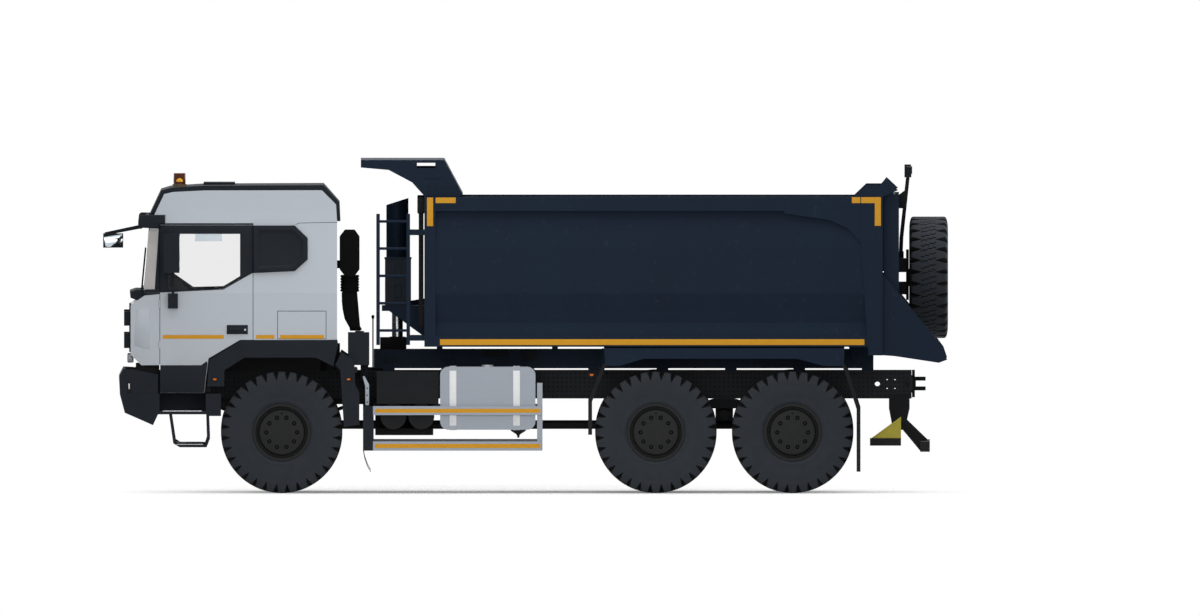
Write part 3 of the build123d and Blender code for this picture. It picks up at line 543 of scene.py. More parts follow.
def wheel_copies(master, prefix, slot, smooth=35):
    """Copies of a piece on the wheels, the spare last, each with its tyre's node, centre and axle."""
    made = []
    for place, centre in WHEEL_PLACES.items():
        turn = Matrix.Rotation(pi if centre.y > 0 else 0.0, 4, "Z")
        twin = copy_piece(master, f"{prefix}_{place}", Matrix.Translation(centre) @ turn)
        finish_piece(twin, f"wheel_{place}", slot, smooth=smooth)
        made.append((twin, f"tyre_{place}", centre, AXLE))
    turn = Matrix.Rotation(pi / 2, 4, "Z")
    twin = copy_piece(master, f"{prefix}_spare", Matrix.Translation(SPARE_PLACE) @ turn)
    finish_piece(twin, "tailgate", slot, smooth=smooth)
    made.append((twin, "spare_tyre", SPARE_PLACE, Vector((1, 0, 0))))
    bpy.data.objects.remove(master)
    return made


def join_pieces(pieces, name):
    """Several meshes as one."""
    clear_selection()
    for piece in pieces:
        piece.select_set(True)
    bpy.context.view_layer.objects.active = pieces[0]
    bpy.ops.object.join()
    joined = bpy.context.object
    joined.name = joined.data.name = name
    return joined


def plate(name, outline, y, thickness, holes=(), bevel=0.0, segments=2):
    """A plate of (x, z) points in metres, its inner face at y, thick towards its own side."""
    piece = begin(name)
    for loop in (outline, *holes):
        trace([(x, y, z) for x, z in loop])
    fill_and_thicken((0, thickness if y > 0 else -thickness, 0))
    if bevel:
        bevel_edges(piece, bevel, segments)
    return piece


def lean_on_wall(piece, side):
    """Turn a plate that was traced upright so that it lies on the leaning part of the cab wall."""
    pick(piece)
    hinge = Vector((0, side * WALL_OUT, SILL_Z))
    turn = Matrix.Rotation(side * LEAN, 4, "X")
    piece.matrix_world = Matrix.Translation(hinge) @ turn @ Matrix.Translation(-hinge)
    apply_place()


def box_outline(x_low, x_high, z_low, z_high):
    """Corners of an upright rectangle."""
    return [(x_low, z_low), (x_high, z_low), (x_high, z_high), (x_low, z_high)]


def disc_outline(x, z, radius, count=24):
    """Points round a circle in a side view."""
    turns = [2 * pi * n / count for n in range(count)]
    return [(x + radius * cos(turn), z + radius * sin(turn)) for turn in turns]


def rounded_box(name, low, high, bevel, segments=3):
    """A cube brought to two corners, with its edges rounded."""
    clear_selection()
    bpy.ops.mesh.primitive_cube_add(size=1.0, location=(Vector(low) + Vector(high)) / 2)
    piece = bpy.context.object
    piece.name = piece.data.name = name
    piece.scale = Vector(high) - Vector(low)
    apply_place()
    bevel_edges(piece, bevel, segments)
    return piece


def side_box(name, side, spans, bevel, segments=3):
    """A rounded box by its x, y and z spans, its y spans counted out from the middle of the truck."""
    x_low, x_high, y_in, y_out, z_low, z_high = spans
    y_low, y_high = sorted((side * y_in, side * y_out))
    return rounded_box(name, (x_low, y_low, z_low), (x_high, y_high, z_high), bevel, segments)


class TRUCK_OT_finishes(bpy.types.Operator):
    """Paint the CAD nodes with the truck's finishes"""

    bl_idname = "truck.finishes"
    bl_label = "Finishes"

    def execute(self, context):
        FINISH.update(make_finishes())
        for node, thing in NODES.items():
            thing.data.materials.clear()
            thing.data.materials.append(FINISH[SLOT_OF[node]])
        # node, finish, then a test of a face's centre c and outward normal n; later rows paint over
        spots = [
            ("chassis_frame", "rail",
             lambda c, n: abs(c.y) > 0.42 and 0.95 < c.z < 1.25 and abs(n.y) > 0.9),
            ("cab_lamps", "beacon_base", lambda c, n: c.z > 3.0),
            ("cab_lamps", "dome", lambda c, n: c.z > 3.173),
            ("cab_front", "dark_trim",
             lambda c, n: c.z > 1.99 or (c.x < -4.0432 and 1.47 < c.z < 1.87)),
            ("cab_front", "interior", lambda c, n: n.x > 0.5),
            ("cab_shell", "interior", lambda c, n: n.y * c.y < -0.3 or (n.x < -0.6 and c.x > -2.1)),
            ("cab_shell", "chassis_paint", lambda c, n: c.z < 1.61 and abs(c.y) < 1.188),
            ("cab_roof", "interior", lambda c, n: n.z < -0.5),
            ("door_left", "interior", lambda c, n: n.y > 0.5),
            ("door_right", "interior", lambda c, n: n.y < -0.5),
            ("door_mirror_right", "mirror", lambda c, n: n.y < -0.9 and c.x > -3.4 and c.z < 2.655),
            ("cab_lamps", "dark_trim", lambda c, n: c.x < -4.03),
            ("air_intake", "void", lambda c, n: True),
            ("oil_tank", "dark_trim", lambda c, n: True),
            ("door_left", "dark_trim", lambda c, n: c.z < 1.395 and abs(n.y) < 0.5),
            ("door_right", "dark_trim", lambda c, n: c.z < 1.395 and abs(n.y) < 0.5),
            ("chassis_lamps", "red", lambda c, n: c.x > 3.955),
            ("chassis_lamps", "chassis_paint", lambda c, n: c.x <= 3.955),
            ("underrun_guard", "chock",
             lambda c, n: c.x < 3.84 and 0.48 < c.z < 0.79 and abs(c.y + 0.81) < 0.0805),
            ("side_guards", "chassis_paint", lambda c, n: abs(c.y) < 1.16),
            ("side_guards", "dark_trim", lambda c, n: c.x < -1.553),
            ("front_bumper", "aluminium", lambda c, n: abs(c.z - 0.837) < 0.002 and -3.76 < c.x < -3.25),
            ("mudguards", "chassis_paint", lambda c, n: c.x > 0.5 and c.z < 1.302),
            ("mudguards", "flap", lambda c, n: c.z < 0.9 and abs(c.y) < 1.19),
            ("mudguards", "dark_trim", lambda c, n: c.x < -1.6),
            ("fuel_tanks", "strap", lambda c, n: c.z > 1.299 and -0.46 < c.x < -0.31),
            ("fuel_tanks", "chassis_paint", lambda c, n: abs(c.y) < 0.555),
        ]
        for node, finish, test in spots:
            mesh = NODES[node].data
            mesh.materials.append(FINISH[finish])
            for face in mesh.polygons:
                if test(face.center, face.normal):
                    face.material_index = len(mesh.materials) - 1
        return {"FINISHED"}


class TRUCK_OT_tyres(bpy.types.Operator):
    """Model one lugged tyre and set it on every wheel"""

    bl_idname = "truck.tyres"
    bl_label = "Tyres"

    def carcass(self):
        """The tyre body, a half section spun round the axle and mirrored."""
        # distance from the axle, distance across
        section = [
            (0.292, 0.140), (0.292, 0.163), (0.303, 0.172), (0.320, 0.178), (0.324, 0.182), (0.334, 0.183),
            (0.340, 0.182), (0.385, 0.192), (0.430, 0.1985), (0.470, 0.199), (0.520, 0.1965), (0.526, 0.1975),
            (0.534, 0.1965), (0.562, 0.1935), (0.592, 0.187), (0.610, 0.178), (TYRE_RADIUS - 0.003, 0.168),
            (TYRE_RADIUS - 0.0005, 0.152), (TYRE_RADIUS - 0.0005, 0.0),
        ]
        piece = begin("tyre_carcass")
        trace([(0, -across, reach) for reach, across in section], closed=False)
        spin_round(128)
        pick(piece)
        halves = piece.modifiers.new("halves", "MIRROR")
        halves.use_axis = (False, True, False)
        bpy.ops.object.modifier_apply(modifier=halves.name)
        bpy.ops.object.mode_set(mode="EDIT")
        bpy.ops.mesh.select_mode(type="EDGE")
        bpy.ops.mesh.select_all(action="DESELECT")
        bpy.ops.mesh.select_non_manifold()
        bpy.ops.mesh.bridge_edge_loops()
        bpy.ops.mesh.select_all(action="SELECT")
        bpy.ops.mesh.normals_make_consistent(inside=False)
        clear_selection()
        return piece

    def cutters(self, sizes):
        """A ring of V notches on both shoulders and of bent sipes between them."""
        # a notch rises from below the shoulder to the crown, runs past both ends and opens outwards
        foot, crown = TYRE_RADIUS - 0.092, TYRE_RADIUS + 0.003
        rise = Vector((0, 0.132, crown - foot))
        start = Vector((0, -0.192, foot)) - rise * 0.20
        out = Vector((0, -rise.z, rise.y)).normalized() * 0.09
        wide = Vector((sizes.notch_width, 0, 0))
        near = begin("notch_near")
        trace([start, start + out + wide, start + out - wide])
        fill_and_thicken(rise * 1.35)
        half_turn = Matrix.Rotation(pi, 4, "Z")
        far = copy_piece(near, "notch_far", half_turn)
        floor = TYRE_RADIUS - sizes.lug_height
        half = sizes.sipe_width / 2
        bends = [(0.020, -0.078), (0.026, -0.050), (0.006, -0.030), (0.012, 0.0), (-0.012, 0.018),
                 (-0.006, 0.048), (-0.024, 0.078)]
        sipe = begin("sipe")
        trace([(x - half, y, floor) for x, y in bends] + [(x + half, y, floor) for x, y in reversed(bends)])
        fill_and_thicken((0, 0, 0.05))
        half_step = Matrix.Rotation(pi / sizes.lug_count, 4, "Y")
        between = copy_piece(sipe, "sipe_between", half_step @ half_turn)
        return ring_of(join_pieces([near, far, sipe, between], "notch_ring"), sizes.lug_count)

    def darken(self, tyre, centre, axle):
        """Paint the walls of the cuts, which face round the axle, in the darker flap rubber: painted shade in
        the tread's grooves.
        """
        # painted shade: the walls of the tread cuts take the darker rubber, for the shade that falls in the
        # grooves
        tyre.data.materials.append(FINISH["flap"])
        for face in tyre.data.polygons:
            if abs(face.normal.dot(axle.cross(face.center - centre).normalized())) > 0.3:
                face.material_index = 1

    def execute(self, context):
        tyre = self.carcass()
        cut_out(tyre, self.cutters(context.scene.truck_sizes))
        for tread, node, centre, axle in wheel_copies(tyre, "tread", "tyre", smooth=28):
            self.darken(tread, centre, axle)
            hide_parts(node)
        return {"FINISHED"}


class TRUCK_OT_wheel_nuts(bpy.types.Operator):
    """Model one wheel face with its ring of sunk nuts and set it on every wheel"""

    bl_idname = "truck.wheel_nuts"
    bl_label = "Wheel nuts"

    def pin(self, vertices, radius, depth, across, reach):
        """A cylinder along the axle."""
        clear_selection()
        bpy.ops.mesh.primitive_cylinder_add(vertices=vertices, radius=radius, depth=depth,
                                            location=(0, across, reach), rotation=(pi / 2, 0, 0))
        apply_place()
        return bpy.context.object

    def darken(self, piece, centre, axle):
        """Paint the walls and floors of the recesses as unlit."""
        deepest, lip, above_floor = 0.150, 0.1715, 0.158
        ring_in, ring_out = 0.13, 0.205
        smallest_face = 1e-6
        piece.data.materials.append(FINISH["void"])
        for face in piece.data.polygons:
            spot = face.center - centre
            across = abs(spot.dot(axle))
            reach = (spot - axle * spot.dot(axle)).length
            nut_top = across > above_floor and abs(face.normal.dot(axle)) > 0.5
            sunk = deepest < across < lip and ring_in < reach < ring_out
            if sunk and face.area > smallest_face and not nut_top:
                face.material_index = 1

    def execute(self, context):
        sizes = context.scene.truck_sizes
        back, bore_length, valve_circle = -0.148, 0.040, 0.194
        # distance from the axle, distance across
        profile = [(0.0, WHEEL_FACE), (0.214, WHEEL_FACE), (0.224, WHEEL_FACE + 0.003),
                   (0.229, WHEEL_FACE + 0.010), (0.229, back), (0.0, back)]
        disc = begin("wheel_face")
        trace([(0, across, reach) for reach, across in profile], closed=False)
        spin_round(72)
        bore_middle = RECESS_FLOOR - bore_length / 2
        bore = self.pin(24, 0.022, bore_length, bore_middle, sizes.nut_circle)
        bores = ring_of(bore, sizes.nut_count)
        valve = self.pin(16, 0.008, bore_length, bore_middle, valve_circle)
        cut_out(disc, join_pieces([bores, valve], "nut_bores"))
        nut = self.pin(6, 0.0115, 0.016, RECESS_FLOOR - 0.006, sizes.nut_circle)
        bpy.ops.object.mode_set(mode="EDIT")
        select_faces(lambda normal: normal.y < -0.9)
        bpy.ops.mesh.inset(thickness=0.0035)
        bpy.ops.mesh.extrude_region_move(TRANSFORM_OT_translate={"value": (0, -0.005, 0)})
        bevel_edges(nut, 0.001, 1)
        face = join_pieces([disc, ring_of(nut, sizes.nut_count)], "wheel_face")
        on_wheels = wheel_copies(face, "nuts", "wheel_paint")[:-1]
        for twin, node, centre, axle in on_wheels:
            self.darken(twin, centre, axle)
        return {"FINISHED"}


class TRUCK_OT_tape(bpy.types.Operator):
    """Stick the marking tape on the bed, the cab and the side guards"""

    bl_idname = "truck.tape"
    bl_label = "Marking tape"

    def execute(self, context):
        thick = context.scene.truck_sizes.tape_thickness
        # name, body, panel depth, then x and z spans of each strip
        runs = [
            ("bed_rail_tape", "bed", 1.200, [(-0.877, 3.467, 1.516, 1.576)]),
            ("bed_corner_tape", "bed", 1.200,
             [(-1.010, -0.947, 2.734, 3.026), (-0.922, -0.716, 2.969, 3.026)]),
            ("bed_rear_tape", "bed", 1.205, [(3.573, 3.636, 2.737, 3.030)]),
            ("bed_rear_top_tape", "bed", 1.200, [(3.339, 3.425, 2.969, 3.030)]),
            ("bed_rear_post_tape", "bed", 1.205, [(3.434, 3.572, 2.969, 3.030)]),
            ("guard_tape", "chassis", 1.230, [(-1.540, 0.150, 0.824, 0.864), (-1.540, 0.150, 0.462, 0.505)]),
            ("cab_tape", "cab", WALL_OUT, [(-2.760, -2.571, 1.581, 1.620), (-2.514, -2.064, 1.581, 1.620)]),
            ("door_tape", "door", WALL_OUT, [(-3.716, -3.089, 1.581, 1.620)]),
        ]
        for name, body, depth, strips in runs:
            for hand, side in HANDS:
                made = [plate(f"{name}_{n}", box_outline(*strip), side * depth, thick, (), thick * 0.4, 1)
                        for n, strip in enumerate(strips)]
                piece = join_pieces(made, f"{name}_{hand}")
                rider = f"door_{hand}" if body == "door" else body
                finish_piece(piece, rider, SLOT_OF["bed_side_left"], "tape")
        return {"FINISHED"}


class TRUCK_OT_cab_cladding(bpy.types.Operator):
    """Clad the cab sides: surrounds, pillars, blank panel, skirts, seams, handles, visor ends and lamps"""

    bl_idname = "truck.cab_cladding"
    bl_label = "Cab cladding"

    def execute(self, context):
        surround = [(-3.741, 2.054), (-3.093, 2.086), (-2.793, 2.256), (-2.793, 2.746), (-3.741, 2.746)]
        window = [(-3.660, 2.656), (-2.923, 2.656), (-2.923, 2.197), (-3.093, 2.095), (-3.660, 2.080)]
        wrap = [(-3.903, 2.086), (-3.798, 2.086), (-3.757, 2.698), (-3.858, 2.698)]
        skirt = [(-3.741, 1.028), (-3.741, 1.310), (-3.322, 1.310), (-3.264, 1.352), (-3.256, 1.330),
                 (-3.292, 1.028)]
        corner = [(-4.005, 1.515), (-3.862, 1.476), (-3.850, 1.486), (-3.850, 1.888), (-3.860, 1.897),
                  (-3.985, 1.882)]
        hatch = [box_outline(-2.541, -2.040, 1.578, 1.867), box_outline(-2.536, -2.045, 1.583, 1.862)]
        roof_seam = [(-2.350, 2.752), (-2.312, 2.766), (-1.925, 2.774), (-1.925, 2.778), (-2.314, 2.770),
                     (-2.352, 2.756)]
        # name, rides on the door, slot, finish, thickness, bevel, leans on the wall, outline and holes
        cladding = [
            ("window_surround", True, "dark_trim", None, 0.004, 0.0015, True, [surround, window]),
            # the screen finish of the wrap is a painted reflection, not clear glass
            ("screen_wrap", False, "glass", "screen", 0.002, 0.0008, True, [wrap]),
            ("door_skirt", True, "dark_trim", None, 0.004, 0.0015, False, [skirt]),
            ("corner_panel", False, "cab_paint", None, 0.003, 0.0025, False, [corner]),
            ("locker_seam", False, "dark_trim", None, 0.0012, 0.0, False, hatch),
            ("roof_seam", False, "dark_trim", None, 0.0012, 0.0, True, [roof_seam]),
        ]
        trims = {
            "pillar": [(-3.797, 2.085), (-3.747, 2.090), (-3.747, 2.752), (-3.775, 2.752), (-3.756, 2.700)],
            "header": [(-3.780, 2.755), (-2.787, 2.755), (-2.787, 2.766), (-3.770, 2.766)],
            "cowl": [(-3.905, 2.051), (-3.747, 2.051), (-3.747, 2.089), (-3.903, 2.085)],
        }
        cowl_foot = [(-3.905, 2.024), (-3.747, 2.038), (-3.747, 2.050), (-3.905, 2.050)]
        blank = [(-2.787, 2.741), (-2.363, 2.741), (-2.231, 2.613), (-2.231, 2.393), (-2.363, 2.274),
                 (-2.787, 2.254)]
        visor_end = [(-3.968, 2.745), (-3.956, 2.836), (-3.935, 2.850), (-3.690, 2.848), (-3.690, 2.758),
                     (-3.753, 2.756), (-3.753, 2.710), (-3.950, 2.716)]
        for hand, side in HANDS:
            y = side * WALL_OUT
            door = f"door_{hand}"
            for name, on_door, slot, finish, thick, bevel, leans, (outline, *holes) in cladding:
                piece = plate(f"{name}_{hand}", outline, y, thick, holes, bevel)
                if leans:
                    lean_on_wall(piece, side)
                finish_piece(piece, door if on_door else "cab", slot, finish)
            made = [plate(f"{name}_{hand}", trim, y, 0.003, bevel=0.001) for name, trim in trims.items()]
            piece = join_pieces(made, f"pillar_trim_{hand}")
            lean_on_wall(piece, side)
            foot = plate(f"cowl_foot_{hand}", cowl_foot, y, 0.003, bevel=0.001)
            finish_piece(join_pieces([piece, foot], f"pillar_trim_{hand}"), "cab", "dark_trim")
            piece = plate(f"blank_panel_{hand}", blank, y, 0.026)
            bpy.ops.object.mode_set(mode="EDIT")
            select_faces(lambda normal: normal.y * side > 0.9)
            bpy.ops.mesh.dissolve_limited()
            bpy.ops.mesh.inset(thickness=0.045)
            bpy.ops.mesh.inset(thickness=0.026, depth=-0.022)
            bevel_edges(piece, 0.005)
            lean_on_wall(piece, side)
            finish_piece(piece, "cab", "dark_trim")
            pan = plate(f"handle_pan_{hand}", box_outline(-3.059, -2.843, 1.628, 1.722),
                        side * (WALL_OUT + 0.010), 0.003, bevel=0.001)
            pull = side_box(f"handle_pull_{hand}", side,
                            (-3.045, -2.900, WALL_OUT + 0.006, WALL_OUT + 0.022, 1.662, 1.690), 0.006)
            lock = side_box(f"handle_lock_{hand}", side,
                            (-2.880, -2.862, WALL_OUT + 0.009, WALL_OUT + 0.019, 1.664, 1.682), 0.004)
            finish_piece(join_pieces([pan, pull], f"door_handle_{hand}"), door, "dark_trim")
            finish_piece(lock, door, "dark_trim", "strap")
            piece = plate(f"visor_end_{hand}", visor_end, side * 1.140, 0.056, bevel=0.010, segments=3)
            finish_piece(piece, "cab", "dark_trim")
            piece = side_box(f"corner_lamp_{hand}", side, (-4.078, -4.012, 0.940, 1.150, 1.335, 1.412), 0.014)
            finish_piece(piece, "cab", "lamp")
        return {"FINISHED"}


class TRUCK_OT_door_seals(bpy.types.Operator):
    """Line both door openings with a rubber seal behind the door's edge"""

    bl_idname = "truck.door_seals"
    bl_label = "Door seals"

    def execute(self, context):
        # side outlines of the seal's runs below the sill, then of the hoop above it
        lower = [
            box_outline(-3.775, -3.725, 1.316, SILL_Z),
            box_outline(-2.805, -2.765, 1.575, SILL_Z),
            [(-2.945, 1.602), (-2.765, 1.602), (-2.765, 1.560), (-2.915, 1.560), (-3.240, 1.366),
             (-3.262, 1.400)],
        ]
        hoop = [(-3.775, SILL_Z), (-3.775, 2.790), (-2.765, 2.790), (-2.765, SILL_Z),
                (-2.805, SILL_Z), (-2.805, 2.730), (-3.725, 2.730), (-3.725, SILL_Z)]
        depth, thick, bevel = WALL_OUT - 0.050, 0.0045, 0.001
        for hand, side in HANDS:
            upper = plate(f"seal_hoop_{hand}", hoop, side * depth, thick, bevel=bevel)
            lean_on_wall(upper, side)
            runs = [plate(f"seal_{hand}_{n}", run, side * depth, thick, bevel=bevel)
                    for n, run in enumerate(lower)]
            finish_piece(join_pieces([upper, *runs], f"door_seal_{hand}"), "cab", "dark_trim", "flap")
        return {"FINISHED"}


class TRUCK_OT_mirrors(bpy.types.Operator):
    """Set the mirror glass, the wipers and the bright step treads"""

    bl_idname = "truck.mirrors"
    bl_label = "Mirrors, wipers and treads"

    def execute(self, context):
        glass_x, glass_y = (-3.546, -3.539), (WALL_OUT + 0.075, WALL_OUT + 0.190)
        for hand, side in HANDS:
            main = side_box(f"mirror_main_{hand}", side, (*glass_x, *glass_y, 2.395, 2.632), 0.003)
            wide = side_box(f"mirror_wide_{hand}", side, (*glass_x, *glass_y, 2.285, 2.380), 0.003)
            piece = join_pieces([main, wide], f"mirror_glass_{hand}")
            finish_piece(piece, f"door_{hand}", "glass", "mirror")
            y_low, y_high = sorted((side * (WALL_OUT - 0.042), side * (WALL_OUT - 0.008)))
            tread = rounded_box(f"stirrup_tread_{hand}", (-3.575, y_low, 0.497),
                                (-3.300, y_high, 0.503), 0.002)
            grip = rounded_box(f"step_tread_{hand}", (-3.715, y_low, 0.834),
                               (-3.315, y_high + side * 0.004, 0.845), 0.003)
            piece = join_pieces([tread, grip], f"tread_plate_{hand}")
            finish_piece(piece, "chassis", "aluminium", "strap")
        outline = [(-4.318, 2.602), (-4.130, 2.632), (-4.122, 2.540), (-4.262, 2.500), (-4.300, 2.508)]
        finish_piece(plate("front_mirror", outline, 0.639, -0.004, bevel=0.001), "cab", "glass", "mirror")
        arms = []
        screen_foot = Matrix.Translation((-3.925, 0, 2.078)) @ Matrix.Rotation(radians(5.4), 4, "Y")
        for number, y in enumerate((-0.62, 0.02, 0.66)):
            arm = rounded_box(f"wiper_arm_{number}", (-0.012, y - 0.010, 0.0), (0.004, y + 0.010, 0.42),
                              0.004)
            blade = rounded_box(f"wiper_blade_{number}", (0.000, y - 0.30, 0.016), (0.014, y + 0.30, 0.030),
                                0.004)
            arm = join_pieces([arm, blade], f"wiper_{number}")
            arm.matrix_world = screen_foot
            apply_place()
            arms.append(arm)
        finish_piece(join_pieces(arms, "wipers"), "cab", "dark_trim")
        return {"FINISHED"}


class TRUCK_OT_bed_fittings(bpy.types.Operator):
    """Emboss the guard, the bed walls and the box behind the cab, and fit the front flaps and strips"""

    bl_idname = "truck.bed_fittings"
    bl_label = "Bed fittings"

    def wall_mark(self, name, hand, side, x, z):
        """A long six-sided boss where a line across the truck meets the bed wall."""
        across = Vector((0, -side, 0))
        found, spot, normal, face = NODES[f"bed_side_{hand}"].ray_cast(Vector((x, side * 2.0, z)), across)
        if not found:
            raise RuntimeError(f"no bed wall at {x}")
        shape = [(-0.012, -0.032), (0, -0.044), (0.012, -0.032), (0.012, 0.032), (0, 0.044), (-0.012, 0.032)]
        return plate(name, [(x + dx, z + dz) for dx, dz in shape], spot.y - side * 0.004, 0.010, bevel=0.002)

    def execute(self, context):
        drop = [(-1.041, 3.232), (-1.025, 3.214), (-0.905, 3.214), (-0.872, 3.232), (-0.869, 3.247),
                (-0.882, 3.262), (-0.935, 3.262), (-1.020, 3.248)]
        dots = [disc_outline(-0.989 + 0.0692 * n, 3.140, 0.013) for n in range(5)]
        flap = [(-1.660, 0.440), (-1.646, 0.360), (-1.618, 0.280), (-1.584, 0.217), (-1.588, 0.215),
                (-1.623, 0.278), (-1.651, 0.359), (-1.665, 0.440)]
        for hand, side in HANDS:
            made = [plate(f"guard_mark_{hand}_{n}", outline, side * 1.125, 0.004, bevel=0.0015)
                    for n, outline in enumerate([drop, *dots])]
            finish_piece(join_pieces(made, f"guard_emboss_{hand}"), "bed", "bed_paint")
            piece = plate(f"front_flap_{hand}", flap, side * 0.880, 0.320)
            finish_piece(piece, "chassis", "dark_trim", "flap")
        for hand, side in HANDS:
            marks = [self.wall_mark(f"panel_mark_{hand}_{n}", hand, side, -0.133 + 0.932 * n, 1.952)
                     for n in range(4)]
            finish_piece(join_pieces(marks, f"panel_marks_{hand}"), "bed", "bed_paint")
        frames = []
        for number, (low, high) in enumerate(((1.996, 2.127), (2.198, 2.323))):
            opening = box_outline(-1.337, -1.276, low + 0.008, high - 0.008)
            frames.append(plate(f"box_frame_{number}", box_outline(-1.345, -1.268, low, high), -0.720, 0.005,
                                [opening], 0.0015))
        frames.append(plate("box_lid", box_outline(-1.446, -1.167, 2.390, 2.412), -0.716, 0.010, bevel=0.004))
        finish_piece(join_pieces(frames, "box_emboss"), "bed", "bed_paint")
        holes = [disc_outline(-1.069, 1.78 + 0.0615 * n, 0.006, 12) for n in range(18)]
        for hand, side in HANDS:
            strip = plate(f"strip_{hand}", box_outline(-1.095, -1.045, 1.700, 2.860), side * 1.060, 0.012,
                          holes, 0.001)
            cap = side_box(f"strip_cap_{hand}", side, (-1.109, -1.034, 1.046, 1.086, 2.860, 3.028), 0.012)
            finish_piece(join_pieces([strip, cap], f"front_strip_{hand}"), "bed", "dark_trim", "flap")
        return {"FINISHED"}


class TRUCK_OT_inner_panels(bpy.types.Operator):
    """Fit the dark inner panels: dash, grille core, shields, seals and stops"""

    bl_idname = "truck.inner_panels"
    bl_label = "Inner panels"

    def execute(self, context):
        dash = [(-3.722, 2.052), (-3.722, 2.236), (-3.600, 2.243), (-3.566, 2.205), (-3.500, 2.130),
                (-3.440, 2.085), (-3.440, 2.052)]
        finish_piece(plate("dash_binnacle", dash, -0.300, 0.640, bevel=0.012), "cab", "interior")

        teeth = []
        for n in range(24):
            low = 1.440 + 0.0205 * n
            teeth += [(-4.047, low), (-4.058, low + 0.004), (-4.058, low + 0.014), (-4.047, low + 0.018)]
        piece = plate("grille_core", [(-4.042, 1.440), *teeth, (-4.042, 1.932)], 0.950, -1.900)
        finish_piece(piece, "cab", "dark_trim")

        # name, body, depth, thickness, side outline
        shields = [
            ("under_cab", "chassis", 1.060, 0.090, box_outline(-3.990, -3.748, 1.200, 1.311)),
            ("hoist_cradle", "chassis", 0.085, 0.045, box_outline(-1.490, -1.220, 1.462, 1.585)),
            ("gate_seal", "tailgate", 1.095, 0.025, box_outline(3.641, 3.672, 2.270, 3.030)),
            ("gate_stop", "bed", 1.040, 0.040, box_outline(3.610, 3.643, 2.270, 3.030)),
            ("arch_seam", "cab", WALL_OUT - 0.056, 0.004,
             [(-3.340, 1.030), (-3.225, 1.030), (-3.225, 1.400), (-3.300, 1.400)]),
            ("engine_shield", "chassis", 0.330, 0.006, box_outline(-2.100, -1.900, 1.240, 1.520)),
            ("inner_fender", "chassis", 0.900, 0.006,
             [(-1.955, 1.290), (-1.880, 1.440), (-1.760, 1.360), (-1.760, 1.200), (-1.900, 1.200)]),
        ]
        for name, body, depth, thick, outline in shields:
            for hand, side in HANDS:
                piece = plate(f"{name}_{hand}", outline, side * depth, thick, bevel=0.0015)
                finish_piece(piece, body, "dark_trim", "flap")
        return {"FINISHED"}


